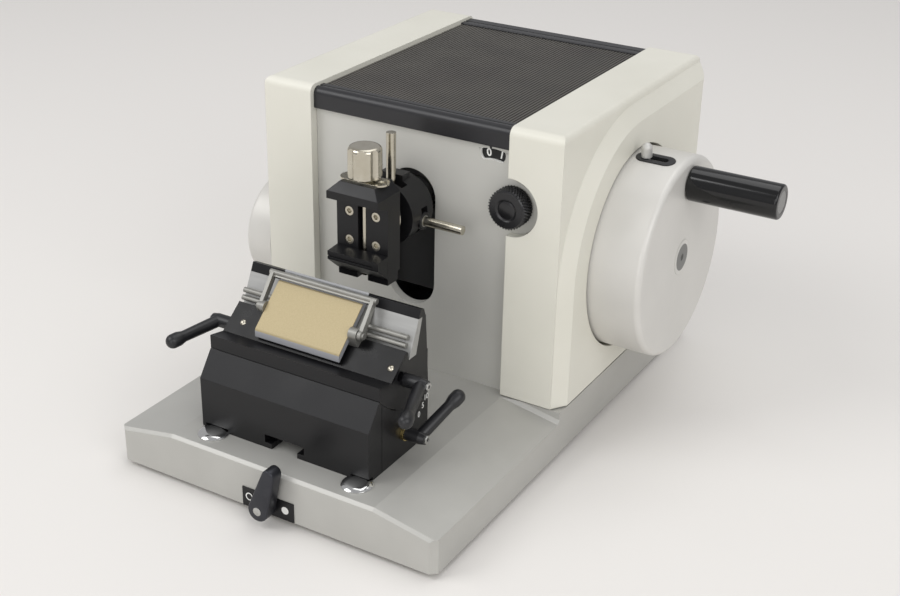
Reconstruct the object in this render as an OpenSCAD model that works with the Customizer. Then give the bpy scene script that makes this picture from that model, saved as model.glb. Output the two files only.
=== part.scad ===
// Rotary microtome. Millimetres, +Z up, +X to the handwheel side, +Y away from the operator.
// The origin is the middle of the base plate's underside. Lengths named *_y run back from
// the front edge of the base; machine() moves the finished sub-parts to the origin.

/* [Base plate] */
// Width of the base plate
base_w = 300; // [296:1:312]
// Depth of the base plate, front to back
base_d = 466; // [460:1:500]
// Height of the flat middle of the base plate
base_h = 39.5; // [38:0.5:41]
// Height of the sloping flanks at their outer edges
flank_h = 29.6; // [27:0.2:32]
// Half width of the flat middle, where the flanks start
crease_x = 95.8; // [95:0.2:98]
// Chamfer of the vertical front corners
base_corner = 4.9; // [3:0.1:6]
// Chamfer along the top front edge
base_bevel = 2.5; // [1.5:0.1:3.5]
// Radius of a rubber foot
foot_r = 11; // [9:0.5:13]
// Height of a rubber foot below the base plate
foot_h = 5; // [3:0.5:8]

/* [Covers] */
// Distance from the base front to the front of the covers
cover_y = 195.7; // [194:0.2:198]
// Height of the covers above the underside of the base
cover_h = 275.9; // [272:0.5:282]
// Half width of the opening between the two covers
cover_in = 93.9; // [93:0.1:95]
// Half width over the flat front strips of the covers
cover_out = 141.3; // [140:0.1:142]
// Wall of a cover
cover_wall = 3; // [2.5:0.1:4]
// Radius of the covers' long edges
cover_edge = 5; // [3:0.5:6]
// Radius of the covers' rear corners, seen from above
cover_back_r = 11; // [8:0.5:14]
// Shadow gap between the base plate and the covers
cover_gap = 1.2; // [0.8:0.1:2]
// Width of the bevel band around the raised side panels
band_w = 13; // [11:0.5:14]

/* [Front plate and top] */
// Distance from the base front to the face of the front plate
plate_y = 204.1; // [203:0.1:206]
// Thickness of the front plate
plate_t = 8; // [7:0.5:9]
// Half width of the slot that the specimen arm travels in
slot_r = 23.1; // [22:0.1:24]
// Depth of the ribbed top mat below the cover tops
mat_drop = 3.9; // [3:0.1:5]
// Thickness of the top mat with its ribs
mat_t = 5; // [4:0.5:6]
// Number of ribs on the top mat
mat_ribs = 61; // [41:2:81]
// Width of the black trim bar along the front of the top
trim_w = 15; // [13:0.5:17]
// Height of the black trim bar's face
trim_h = 18; // [16:0.5:20]

/* [Handwheel] */
// Radius of the handwheel
wheel_r = 87; // [84:0.5:88]
// Distance of the handwheel axis from the base front
wheel_y = 321.9; // [320:0.5:325]
// Height of the handwheel axis
wheel_z = 144.1; // [143:0.5:146]
// Distance of the handwheel's outer face from the middle of the machine
wheel_x = 195.4; // [192:0.2:200]
// Depth of the recess in the right cover that the wheel turns in
wheel_recess = 12; // [8:0.5:12]
// Gap between the wheel's rim and its recess
rim_gap = 2.2; // [1.8:0.1:3]
// Distance of the handle from the wheel's axis
handle_throw = 65.7; // [62:0.5:68]
// Angle of the handle past top dead centre, towards the back
handle_lean = 4.6; // [0:0.2:8]
// Radius of the handle
handle_r = 14.8; // [13:0.2:16]
// Length of the handle
handle_l = 78; // [70:1:90]
// Radius of the drive shaft
shaft_r = 10; // [8:0.5:12]
// Travel of the handwheel's lock pin
lock_travel = 16; // [12:1:18]

/* [Coarse feed] */
// Radius of the coarse feed wheel
coarse_r = 50; // [46:1:54]
// Thickness of the coarse feed wheel
coarse_t = 28; // [24:1:32]
// Distance of the coarse feed axis from the base front
coarse_y = 260; // [258:1:264]
// Height of the coarse feed axis
coarse_z = 111; // [108:1:114]

/* [Drive] */
// Vertical stroke of the specimen
stroke = 70; // [60:1:72]
// Half of the horizontal feed travel
feed_half = 14; // [10:1:14]
// Height of the specimen axis at the top of the stroke
head_z = 194; // [193.5:0.5:196]
// Radius of the feed quill
quill_r = 17; // [15:0.5:18]
// Number of teeth on the setting pinion
pinion_teeth = 14; // [14:1:14]
// Number of inner teeth on the setting dial
dial_teeth = 42; // [42:1:42]
// Tooth module of the setting gears
gear_module = 1.5; // [1.45:0.05:1.5]

/* [Setting knob] */
// Radius of the section thickness knob
knob_r = 21; // [19:0.5:22]
// Height of the knob off the front plate
knob_h = 17; // [14:1:20]
// Distance of the knob's axis from the middle of the machine
knob_x = 96.5; // [96:0.5:98]
// Height of the knob's axis
knob_z = 210; // [209:0.5:211]

/* [Specimen head] */
// Radius of the head barrel
barrel_r = 26.5; // [25.5:0.5:28]
// Distance of the barrel's rear rim from the base front
barrel_back_y = 195; // [194:0.5:196]
// Length of the head barrel
barrel_l = 31; // [30:0.5:32]
// Half width of the specimen clamp
clamp_half = 24; // [22:0.5:25]
// Distance of the clamp's face from the base front
clamp_y = 131.5; // [131:0.5:132.5]
// Thickness of the clamp's body
clamp_t = 17.5; // [16:0.5:18]
// Reach of the jaw lips in front of the clamp's face
jaw_reach = 14; // [12:0.5:15]
// Gap between the jaws when fully open
jaw_gap = 45; // [40:1:45]
// Radius of the clamping knob
clamp_knob_r = 13.6; // [12:0.2:15]
// Height of the clamping knob
clamp_knob_h = 27; // [22:1:32]
// Radius of the two clamp lever pins
pin_r = 4; // [3:0.2:4.5]
// Length of the clamp lever pins outside the barrel
pin_l = 36; // [30:1:42]

/* [Knife holder] */
// Width of the knife holder
holder_w = 159.6; // [156:0.4:164]
// Offset of the knife holder's middle from the middle of the machine
holder_x = -4.4; // [-6:0.2:-3]
// Distance of the knife holder's face from the base front
holder_y = 26; // [25:0.5:30]
// Depth of the knife holder
holder_d = 84; // [83:0.5:86]
// Height of the holder's upright front face
holder_face = 43.3; // [42:0.5:45]
// Distance of the blade edge from the base front
edge_y = 95; // [94.5:0.1:95.5]
// Height of the blade edge
edge_z = 150; // [149.5:0.1:150.5]
// Radius of the tilting seat around the blade edge
seat_r = 71.8; // [71:0.1:72.2]
// Width of the pressure plate, that of a disposable blade
blade_w = 80; // [76:1:82]
// Length of a clamping lever's arm
lever_l = 51; // [48:1:56]

/* [Fits] */
// Radial clearance of running shafts and pins
run_gap = 0.05; // [0.02:0.01:0.08]
// Clearance between pieces that slide or pass each other
slide_gap = 0.3; // [0.25:0.05:0.4]

/* [Hidden] */

e = 0.01;
big = 1000;
$fn = 96;

flank_drop = base_h - flank_h;
flank_run = base_w / 2 - crease_x;
flank_angle = atan(flank_drop / flank_run);
step_y = cover_y + 1.1;
step_ramp = 3;
side_x = base_w / 2;
side_rise = side_x - cover_out;
cover_z = base_h + cover_gap;
cover_back = base_d - 0.2;
band_outer = wheel_y - cover_y - 1;
band_inner = band_outer - band_w;
band_start = band_outer + band_w / side_rise;
recess_r = wheel_r + rim_gap;
cover_floor = side_x - wheel_recess;
front_wall = plate_y - cover_y - 0.2;
knob_relief = knob_r + 3.5;

plate_half = cover_out - cover_wall - 18;
plate_back = plate_y + plate_t;
slot_top = head_z + 3.3;
slot_low = slot_top - stroke - 6.6;
inner_half = cover_in - 0.3;
trim_top = cover_h - 2.5;
trim_y = plate_y - 4.2;
trim_leg = 4.2;
pan_z = cover_h - mat_drop - mat_t - 4;
deck_z = pan_z + 3.5;
mat_top = cover_h - mat_drop;
mat_front = trim_y + trim_w + 0.3;
rear_trim_w = 24;
rear_leg = 8;
mat_back = cover_back - rear_trim_w - 0.3;

wall_x = 60;
foot_x = 84;
wall_t = 12;
floor_t = 12;
casting_y = 240;
casting_back = 420;
casting_top = 226;
rail_w = 10;
rail_d = 16;
rail_y = casting_y + 4;
groove_y = rail_y + 6;
groove_w = 4;
groove_d = 3;
wheel_in = cover_floor + 2;
shaft_in = 52;
crank_r = stroke / 2;
crank_x = 38;
crank_disc_t = 12;
handle_y = wheel_y + handle_throw * sin(handle_lean);
handle_z = wheel_z + handle_throw * cos(handle_lean);
axle_r = 5;
coarse_in = side_x + 2.5;
bearing_t = 14;

carriage_half = wall_x - rail_w - slide_gap;
carriage_y = 228;
carriage_d = 42;
carriage_top = head_z + 30;
carriage_low = head_z - 46;
shield_y = plate_back + 1;
shield_low = base_h + stroke + 2;
seat_wall = 5;
quill_front = barrel_back_y - seat_wall;
quill_back = carriage_y + carriage_d + 16;

pinion_r = gear_module * pinion_teeth / 2;
dial_r = gear_module * dial_teeth / 2;
dial_x = knob_x - (dial_r - pinion_r);
dial_rim = dial_r + 11.5;
dial_y = plate_y + 2.5;
dial_t = plate_t - 2.8;
axle_in = 4;
number_r = dial_r + 6.5;

barrel_y = barrel_back_y - barrel_l;
ball_y = barrel_y + 9;
ball_r = 12;
ring_bore = 19;
ring_w = 8;
release_y = barrel_y + seat_wall + slide_gap;
orient_y = release_y + ring_w + 0.7;
dome_r = 18;
shell_r = 22;
tilt_hole = 10.4;
clamp_back = clamp_y + clamp_t;
clamp_top = head_z + 38;
clamp_low = head_z - 45;
jaw_lip_z = head_z + 24.3;
lower_lip_z = jaw_lip_z - jaw_gap;
jaw_front = clamp_y - jaw_reach;
slot_half = 4;
spindle_r = 2.6;
spindle_y = clamp_y + 4.6;

holder_l = holder_x - holder_w / 2;
holder_r = holder_x + holder_w / 2;
holder_back = holder_y + holder_d;
face_z = base_h + holder_face;
seat_front_y = edge_y - sqrt(seat_r * seat_r - 47 * 47);
seat_front_z = edge_z - 47;
cheek_w = 16;
tslot_x = -3.3;
tslot_wide = 37.4;
tslot_neck = 24.4;
tslot_neck_h = 4.6;
tslot_h = 7.2;
blade_x = -12;
guard_front = [57, 111.4];
guard_back = [79, 128.6];
guard_t = 2.4;
guard_angle = atan2(guard_back[1] - guard_front[1], guard_back[0] - guard_front[0]);
guard_screw_x = [-70.9, 68.9];
support_low = [81.7, 120.2];
support_top = [95.3, 148.8];
support_angle = atan2(support_top[1] - support_low[1], support_top[0] - support_low[0]);
support_back = [91.8, 100.5];
blade_l = 8.8;
press_front = [57, 121.4];
press_angle = 41.9;
press_l = 43.7;
press_t = 5.1;
rod_r = 2.2;
rods = [[83.9, 130.2], [86.5, 135.8]];
blade_axis = [69.5, 111.5];
shift_axis = [76, 106];
tilt_axis = [75, 60];
finger_axis = [73, 134];
finger_rod = [91.2, 156.2];
trunnion = [74.2, 132.6];
cheek_in = blade_w / 2 + slide_gap;
cheek_left = 3.4;
cheek_right = 7.4;
arm_gap = 0.3;
arm_t = 3;
hub_r = 5.5;
hub_l = 15;
lever_lean = 17;
lever_pivot_z = 10.5;
lock_x = wheel_x - 26;
lock_lean = 8;
lock_half = 17;
lock_r = 7.6;
lock_depth = 9;
rim_t = 12;

// Moves what is measured from the front edge of the base to the origin
module machine() {
  translate([0, -base_d / 2, 0]) children();
}

// A round bar along X from x0 to x1
module bar_x(x0, x1, y, z, r) {
  translate([x0, y, z]) rotate([0, 90, 0]) cylinder(h = x1 - x0, r = r);
}

// A round bar along Y from y0 to y1
module bar_y(y0, y1, x, z, r) {
  translate([x, y0, z]) rotate([-90, 0, 0]) cylinder(h = y1 - y0, r = r);
}

// A round bar along Z from z0 to z1
module bar_z(z0, z1, x, y, r) {
  translate([x, y, z0]) cylinder(h = z1 - z0, r = r);
}

// A block between two corners
module block(a, b) {
  translate(a) cube(b - a);
}

// Extrudes a (y, z) outline along X from x0 to x1
module along_x(x0, x1) {
  translate([x0, 0, 0]) rotate([90, 0, 90]) linear_extrude(x1 - x0) children();
}

// Extrudes an (x, z) outline along Y from y0 to y1
module along_y(y0, y1) {
  translate([0, y1, 0]) rotate([90, 0, 0]) linear_extrude(y1 - y0) children();
}

// Extrudes an (x, y) outline along Z from z0 to z1
module along_z(z0, z1) {
  translate([0, 0, z0]) linear_extrude(z1 - z0) children();
}

// A rectangle whose corners have their own radii: low left, low right, high right, high left
module soft_rect(a, b, r) {
  w = b - a;
  corners = [a, [b[0], a[1]], b, [a[0], b[1]]];
  difference() {
    translate(a) square(w);
    for (i = [0:3]) if (r[i] > 0) {
      inward = [corners[i][0] < (a[0] + b[0]) / 2 ? 1 : -1, corners[i][1] < (a[1] + b[1]) / 2 ? 1 : -1];
      translate(corners[i]) scale_corner(inward) difference() {
        translate([-1, -1]) square(r[i] + 1);
        translate([r[i], r[i]]) circle(r[i]);
      }
    }
  }
}

// Turns a corner piece so that it opens towards the inside of its outline
module scale_corner(inward) {
  mirror([inward[0] < 0 ? 1 : 0, 0, 0]) mirror([0, inward[1] < 0 ? 1 : 0, 0]) children();
}

// An upright slot with round ends
module slot_2d(x, z0, z1, r) {
  translate([x - r, z0]) square([2 * r, z1 - z0]);
  translate([x, z0]) circle(r);
  translate([x, z1]) circle(r);
}

// ---- Base ----

// What is milled off one side of the base in front of the body
module flank_cut() {
  difference() {
    intersection() {
      translate([crease_x, -1, base_h]) rotate([0, flank_angle, 0])
        cube([2 * flank_run, step_y + 1, 40]);
      block([crease_x, -1, 0], [side_x + 1, step_y + 1, base_h + 1]);
    }
    translate([crease_x, step_y, base_h]) rotate([0, flank_angle, 0])
      along_x(0, 2 * flank_run) polygon([[-step_ramp, -e], [0, -e], [0, step_ramp]]);
    along_z(0, big) polygon([[cover_out, step_y], [side_x + 2, step_y + 12], [side_x + 2, big],
      [crease_x, big], [crease_x, step_y]]);
  }
}

module base_plate() {
  machine() color("#a8a8a2") difference() {
    along_z(0, base_h) polygon([[-side_x + base_corner, 0], [side_x - base_corner, 0],
      [side_x, base_corner], [side_x, base_d], [-side_x, base_d], [-side_x, base_corner]]);
    flank_cut();
    mirror([1, 0, 0]) flank_cut();
    along_x(-big, big) polygon([[-1, base_h - base_bevel - 1], [base_bevel + 1, base_h + 1], [-1, base_h + 1]]);
    for (s = [-1, 1]) translate([s * crease_x, 0, base_h]) rotate([0, s * flank_angle, 0])
      along_x(s > 0 ? 0 : -2 * flank_run, s > 0 ? 2 * flank_run : 0)
        polygon([[-1, -base_bevel - 1], [base_bevel + 1, 1], [-1, 1]]);
  }
}

module rubber_feet() {
  machine() color("#202020") for (s = [-1, 1]) for (y = [32, base_d - 32])
    translate([s * (side_x - 28), y, -foot_h]) difference() {
      cylinder(h = foot_h, r1 = foot_r - 1, r2 = foot_r);
      translate([0, 0, -1]) cylinder(h = foot_h - 1, r = 3.5);
    }
}

// ---- Body ----

// The outer form of the right-hand cover
module cover_form() {
  y_front = wheel_y - band_start;
  intersection() {
    union() {
      along_y(cover_y, cover_back) soft_rect([cover_in, cover_z], [cover_out, cover_h], [0, 0, cover_edge, 0]);
      side_cone();
      along_z(cover_z, wheel_z) polygon([[cover_out - 1, y_front], [side_x, wheel_y - band_inner],
        [side_x, wheel_y], [cover_out - 1, wheel_y]]);
      along_y(wheel_y, cover_back) polygon([[cover_out - 1, cover_z], [side_x, cover_z],
        [side_x, wheel_z + band_inner], [cover_out - 1, wheel_z + band_start]]);
    }
    along_x(0, big) soft_rect([cover_y, cover_z], [cover_back, cover_h], [0, 0, cover_edge + 2, cover_edge + 2]);
    along_z(0, big) soft_rect([0, 0], [side_x, cover_back], [0, 0, cover_back_r, 0]);
  }
}

// The quarter cone that carries the band round the raised panel's upper front
module side_cone() {
  translate([0, wheel_y, wheel_z]) rotate([0, 90, 0]) rotate([0, 0, 180]) rotate_extrude(angle = 90)
    polygon([[0, cover_out - 1], [band_start, cover_out - 1], [band_inner, side_x], [0, side_x]]);
}

// A cover without the openings that only one side has
module cover_shell() {
  y0 = cover_y + front_wall;
  y1 = cover_back - cover_wall;
  difference() {
    cover_form();
    block([0, y0, 0], [cover_floor - cover_wall, y1, pan_z + slide_gap]);
    block([cover_in + cover_wall, y0, 0], [cover_floor - cover_wall, y1, cover_h - cover_wall]);
  }
}

module right_cover() {
  machine() color("#dcdccf") difference() {
    cover_shell();
    bar_x(cover_floor, side_x + 1, wheel_y, wheel_z, recess_r);
    bar_x(0, side_x, wheel_y, wheel_z, shaft_r + 6);
    bar_y(cover_y - 1, plate_y, knob_x, knob_z, knob_relief);
  }
}

module left_cover() {
  machine() color("#dcdccf") mirror([1, 0, 0]) difference() {
    cover_shell();
    bar_x(0, side_x + 1, coarse_y, coarse_z, shaft_r + 3);
  }
}

module front_plate() {
  machine() color("#a9a9a8") difference() {
    along_y(plate_y, plate_back) difference() {
      translate([-plate_half, base_h]) square([2 * plate_half, pan_z - base_h]);
      slot_2d(0, slot_low, slot_top, slot_r);
    }
    window_cut();
    bar_y(dial_y, plate_back + 1, dial_x, knob_z, dial_rim + slide_gap);
    bar_y(plate_y - 1, plate_back + 1, knob_x, knob_z, axle_in + run_gap);
  }
}

// The curved window that shows two numbers of the dial
module window_cut() {
  along_y(plate_y - 1, dial_y + 1) translate([dial_x, knob_z]) {
    difference() {
      intersection() {
        circle(number_r + 5);
        polygon([[0, 0], [-16, 52], [16, 52]]);
      }
      circle(number_r - 4.5);
    }
  }
}

module front_trim() {
  machine() color("#2a2a2c") along_x(-inner_half, inner_half) difference() {
    soft_rect([trim_y, trim_top - trim_h], [trim_y + trim_w, trim_top], [1, 0, 1, 6]);
    translate([trim_y + 8.2, trim_top]) circle(1.6);
    translate([trim_y + trim_leg, trim_top - trim_h - 1]) square([trim_w, deck_z - trim_top + trim_h + 1]);
  }
}

module rear_trim() {
  machine() color("#2a2a2c") along_x(-inner_half, inner_half) difference() {
    soft_rect([cover_back - rear_trim_w, trim_top - 14], [cover_back, trim_top], [0, 0, 6, 1]);
    translate([cover_back - rear_trim_w + 8, trim_top]) circle(1.6);
    translate([cover_back - rear_trim_w - 1, trim_top - 15])
      square([rear_trim_w + 1 - rear_leg, deck_z - trim_top + 15]);
  }
}

module top_pan() {
  machine() color("#9a9a98")
    block([-inner_half, trim_y + trim_leg + slide_gap, pan_z], [inner_half, cover_back - rear_leg, deck_z]);
}

module top_mat() {
  pitch = 2 * inner_half / mat_ribs;
  machine() color("#4e4c48") along_y(mat_front, mat_back) union() {
    translate([-inner_half, deck_z]) square([2 * inner_half, mat_top - deck_z - 1.3]);
    for (i = [0:mat_ribs - 1]) translate([-inner_half + (i + 0.2) * pitch, deck_z + 1])
      square([pitch * 0.6, mat_top - deck_z - 1]);
  }
}

module rear_panel() {
  machine() color("#a9a9a8") difference() {
    block([-inner_half, cover_back - 3.5, cover_z], [inner_half, cover_back - 0.5, trim_top - 14.3]);
    for (s = [-1, 1]) for (z = [60, 150, 240]) bar_y(cover_back - 5, cover_back, s * (inner_half - 9), z, 2.1);
  }
}

module panel_screws() {
  machine() color("#3a3a3a") for (s = [-1, 1]) for (z = [60, 150, 240])
    difference() {
      union() {
        bar_y(cover_back - 10, cover_back - 0.5, s * (inner_half - 9), z, 2);
        bar_y(cover_back - 0.5, cover_back + 0.2, s * (inner_half - 9), z, 3.8);
      }
      translate([s * (inner_half - 9), cover_back + 1, z]) rotate([90, 0, 0]) cylinder(h = 2.4, r = 1.5, $fn = 6);
    }
}

// ---- Inner frame ----

module main_casting() {
  machine() color("#8b9095") difference() {
    union() {
      block([-foot_x, casting_y, base_h], [foot_x, casting_back, base_h + floor_t]);
      for (s = [-1, 1]) along_x(s > 0 ? wall_x : -wall_x - wall_t, s > 0 ? wall_x + wall_t : -wall_x)
        polygon([[casting_y, base_h], [casting_back, base_h], [casting_back, wheel_z + 20],
          [wheel_y + 30, casting_top - 14], [wheel_y - 30, casting_top], [casting_y, casting_top]]);
      block([-wall_x - e, casting_back - 12, base_h], [wall_x + e, casting_back, wheel_z]);
      bar_x(wall_x + e, wall_x + 24, wheel_y, wheel_z, shaft_r + 22);
      bar_x(-wall_x - 22, -wall_x - e, coarse_y, coarse_z, shaft_r + 16);
    }
    bar_x(0, big, wheel_y, wheel_z, shaft_r + 12);
    bar_x(-big, 0, coarse_y, coarse_z, shaft_r + 6);
    for (s = [-1, 1]) for (y = [casting_y + 14, casting_back - 14]) bar_z(base_h - 1, base_h + floor_t + 1, s * (foot_x - 6), y, 3.4);
  }
}

module shaft_bearings() {
  machine() color("#b9bcc0") {
    bearing(wall_x + 2, wall_x + 2 + bearing_t, wheel_y, wheel_z, shaft_r, shaft_r + 12);
    bearing(-wall_x - 2 - bearing_t, -wall_x - 2, coarse_y, coarse_z, shaft_r - 3, shaft_r + 6);
  }
}

// A closed bearing with a stepped ring on its faces
module bearing(x0, x1, y, z, r_in, r_out) {
  difference() {
    bar_x(x0, x1, y, z, r_out);
    bar_x(x0 - 1, x1 + 1, y, z, r_in + run_gap);
    difference() {
      union() {
        bar_x(x0 - 1, x0 + 0.8, y, z, r_out - 3);
        bar_x(x1 - 0.8, x1 + 1, y, z, r_out - 3);
      }
      bar_x(x0 - 2, x1 + 2, y, z, r_in + 3);
    }
  }
}

module slide_rails() {
  machine() color("#c4c6c8") for (s = [0, 1]) mirror([s, 0, 0])
    along_z(base_h + floor_t, casting_top - 2) difference() {
      translate([wall_x - rail_w, rail_y]) square([rail_w, rail_d]);
      translate([wall_x - rail_w - 1, groove_y]) square([groove_d + 1, groove_w]);
    }
}

module slide_carriage() {
  carriage_back = carriage_y + carriage_d;
  yoke_z = wheel_z + crank_r;
  tongue = carriage_half + groove_d - slide_gap;
  machine() color("#9fa3a8") difference() {
    union() {
      block([-carriage_half, carriage_y, carriage_low], [carriage_half, carriage_back, carriage_top]);
      block([-tongue, groove_y + slide_gap, carriage_low],
        [tongue, groove_y + groove_w - slide_gap, carriage_top]);
      along_x(24, 34) difference() {
        soft_rect([carriage_back - 1, yoke_z - 15], [wheel_y + crank_r + 20, yoke_z + 15], [0, 6, 6, 0]);
        slot_flat(wheel_y - crank_r - 2, wheel_y + crank_r + 2, yoke_z, 8);
      }
    }
    bar_y(carriage_y - 1, carriage_back + 1, 0, head_z, quill_r + run_gap);
  }
}

// A level slot with round ends in a (y, z) outline
module slot_flat(y0, y1, z, r) {
  translate([y0, z - r]) square([y1 - y0, 2 * r]);
  translate([y0, z]) circle(r);
  translate([y1, z]) circle(r);
}

module slot_shield() {
  machine() color("#101010") along_y(shield_y, shield_y + 2) difference() {
    translate([-31, shield_low]) square([62, pan_z - 2 - shield_low]);
    translate([0, head_z]) circle(quill_r + 0.5);
  }
}

module feed_quill() {
  machine() color("#b4b6b8") difference() {
    bar_y(quill_front, quill_back, 0, head_z, quill_r);
    bar_y(carriage_y + 8, quill_back + 1, 0, head_z, 6);
    bar_y(quill_back - 4, quill_back + 1, 0, head_z, 9);
  }
}

// ---- Handwheel ----

module handwheel() {
  machine() color("#b7b7b2") difference() {
    translate([wheel_in, wheel_y, wheel_z]) rotate([0, 90, 0]) rotate_extrude($fn = 128)
      wheel_profile();
    bar_x(wheel_in - 1, wheel_x - 6, wheel_y, wheel_z, shaft_r);
    bar_x(wheel_x - 1.5, wheel_x + 1, wheel_y, wheel_z, 15.2);
    bar_x(wheel_x - 22, wheel_x + 1, handle_y, handle_z, axle_r);
    lock_seat(0.1, 3.2);
    lock_slot(3.2, lock_depth);
  }
}

// Half section of the wheel: x is the radius, y runs from the inner face to the outer face
module wheel_profile() {
  t = wheel_x - wheel_in;
  difference() {
    soft_rect([0, 0], [wheel_r, t], [0, 1.5, 5, 0]);
    soft_rect([30, -1], [wheel_r - rim_t, t - 14], [0, 0, 4, 4]);
  }
}

// Places children on the rim, with +Z out of the rim and X along the axle
module on_rim() {
  translate([0, wheel_y, wheel_z]) rotate([lock_lean, 0, 0]) translate([lock_x, 0, wheel_r]) children();
}

// The obround seat of the lock plate, grown by g
module lock_seat(g, depth) {
  machine_rim(-depth, 4, lock_half + g, lock_r + g);
}

module machine_rim(z0, z1, half, r) {
  on_rim() along_z(z0, z1) union() {
    square([2 * (half - r), 2 * r], center = true);
    for (s = [-1, 1]) translate([s * (half - r), 0]) circle(r);
  }
}

// The groove that the lock pin runs in
module lock_slot(z0, depth) {
  machine_rim(-depth, -z0 + 1, lock_travel / 2 + 4, 4);
}

module lock_plate() {
  machine() color("#1c1c1e") difference() {
    machine_rim(-3, 0.6, lock_half, lock_r);
    machine_rim(-4, 2, lock_travel / 2 + 3.3, 3.3);
  }
}

module lock_pin() {
  machine() color("#d0cfca") on_rim() translate([-lock_travel / 2, 0, 0]) {
    translate([0, 0, 0.5 - lock_depth]) cylinder(h = lock_depth + 8, r = 3);
    translate([0, 0, 1]) cylinder(h = 7.5, r = 4.6);
    translate([0, 0, 8.5]) intersection() {
      sphere(r = 4.6, $fn = 48);
      translate([-5, -5, -e]) cube([10, 10, 5]);
    }
  }
}

module hub_cap() {
  machine() color("#9c9c98") difference() {
    bar_x(wheel_x - 1.5, wheel_x + 0.3, wheel_y, wheel_z, 14.8);
    bar_x(wheel_x - 0.6, wheel_x + 1, wheel_y, wheel_z, 3);
    translate([wheel_x - 1, wheel_y, wheel_z]) rotate([0, 90, 0]) cylinder(h = 3, r = 1.8, $fn = 6);
  }
}

module drive_shaft() {
  machine() color("#b0b2b4") union() {
    bar_x(shaft_in, wheel_x - 6, wheel_y, wheel_z, shaft_r);
    bar_x(wall_x + 2 + bearing_t + 0.3, wall_x + 24, wheel_y, wheel_z, shaft_r + 3);
  }
}

module crank_disc() {
  machine() color("#8f8f8c") union() {
    difference() {
      union() {
        bar_x(crank_x + 1, crank_x + 1 + crank_disc_t, wheel_y, wheel_z, shaft_r + 12);
        along_x(crank_x + 1, crank_x + 1 + crank_disc_t) {
          translate([wheel_y - 14, wheel_z]) square([28, crank_r]);
          translate([wheel_y, wheel_z + crank_r]) circle(14);
          translate([wheel_y, wheel_z - 12]) circle(30);
        }
      }
    }
    bar_x(crank_x + crank_disc_t, shaft_in, wheel_y, wheel_z, shaft_r + 5);
    bar_x(crank_x - 3, crank_x + 2, wheel_y, wheel_z + crank_r, 6);
  }
}

module handle_axle() {
  machine() color("#b0b2b4") union() {
    bar_x(wheel_x - 22, wheel_x + handle_l - 6, handle_y, handle_z, axle_r);
    bar_x(wheel_x + handle_l - 10, wheel_x + handle_l - 4, handle_y, handle_z, axle_r + 4);
  }
}

module handle_grip() {
  machine() color("#161618") translate([wheel_x + 0.5, handle_y, handle_z]) rotate([0, 90, 0])
    rotate_extrude($fn = 96) difference() {
      soft_rect([0, 0], [handle_r, handle_l - 0.5], [0, 1.5, 2, 0]);
      translate([-1, -1]) square([axle_r + run_gap + 1, handle_l + 2]);
      translate([-1, handle_l - 0.5 - 10.5]) square([axle_r + 4.4 + 1, 12]);
    }
}

// ---- Coarse feed ----

module coarse_wheel() {
  machine() color("#b7b7b2") mirror([1, 0, 0]) difference() {
    translate([coarse_in, coarse_y, coarse_z]) rotate([0, 90, 0]) rotate_extrude($fn = 96)
      difference() {
        soft_rect([0, 0], [coarse_r, coarse_t], [0, 1.5, 4, 0]);
        soft_rect([coarse_r * 0.42, coarse_t - 5], [coarse_r - 9, coarse_t + 2], [2, 2, 0, 0]);
      }
    bar_x(coarse_in - 1, coarse_in + coarse_t - 8, coarse_y, coarse_z, shaft_r - 3);
    bar_x(coarse_in + coarse_t - 12, coarse_in + coarse_t + 1, coarse_y + coarse_r * 0.7, coarse_z, 6);
  }
}

module coarse_shaft() {
  machine() color("#b0b2b4") union() {
    bar_x(-coarse_in - coarse_t + 8, -wall_x - slide_gap, coarse_y, coarse_z, shaft_r - 3);
    bar_x(-wall_x - 22, -wall_x - 2 - bearing_t - 0.3, coarse_y, coarse_z, shaft_r);
  }
}

// ---- Setting knob ----

module setting_knob() {
  y1 = plate_y - 0.4;
  machine() color("#1d1d1f") translate([knob_x, y1, knob_z]) rotate([90, 0, 0]) difference() {
    union() {
      rotate_extrude($fn = 96) soft_rect([0, 0], [knob_r - 0.5, knob_h], [0, 1, 1.5, 0]);
      for (a = [0:10:350]) rotate(a) translate([knob_r - 1.5, 0, 1.2]) rotate(45) cube([2, 2, knob_h - 3]);
    }
    translate([0, 0, knob_h - 1.2]) difference() {
      cylinder(h = 2, r = knob_r - 5);
      translate([0, 0, -1]) cylinder(h = 4, r = 9);
    }
    translate([0, 0, -1]) cylinder(h = 9, r = axle_in);
  }
}

// The pinion behind the knob; its flange keeps the dial in the front plate
module setting_pinion() {
  machine() color("#b0b2b4") union() {
    bar_y(plate_y - 8, plate_back + 6, knob_x, knob_z, axle_in);
    along_y(dial_y + slide_gap, dial_y + dial_t)
      translate([knob_x, knob_z]) gear_2d(pinion_teeth, pinion_r, 0.85, 1.1, 0);
    bar_y(plate_back + slide_gap, plate_back + 2.5, knob_x, knob_z, 16);
  }
}

// A gear outline with wedge teeth; above and below are in modules, extra widens the teeth
module gear_2d(n, r, above, below, extra) {
  tip = r + above * gear_module;
  root = r - below * gear_module;
  half_root = gear_module * 0.72 + extra;
  half_tip = gear_module * 0.38 + extra;
  circle(root);
  for (i = [0:n - 1]) rotate(i * 360 / n) polygon([[root - 0.3, -half_root],
    [tip, -half_tip], [tip, half_tip], [root - 0.3, half_root]]);
}

module setting_dial() {
  machine() color("#141414") along_y(dial_y + 0.1, dial_y + dial_t) translate([dial_x, knob_z]) difference() {
    circle(dial_rim);
    gear_2d(dial_teeth, dial_r, 1.1, 0.85, 0.45);
  }
}

// ---- Specimen head ----

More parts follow.
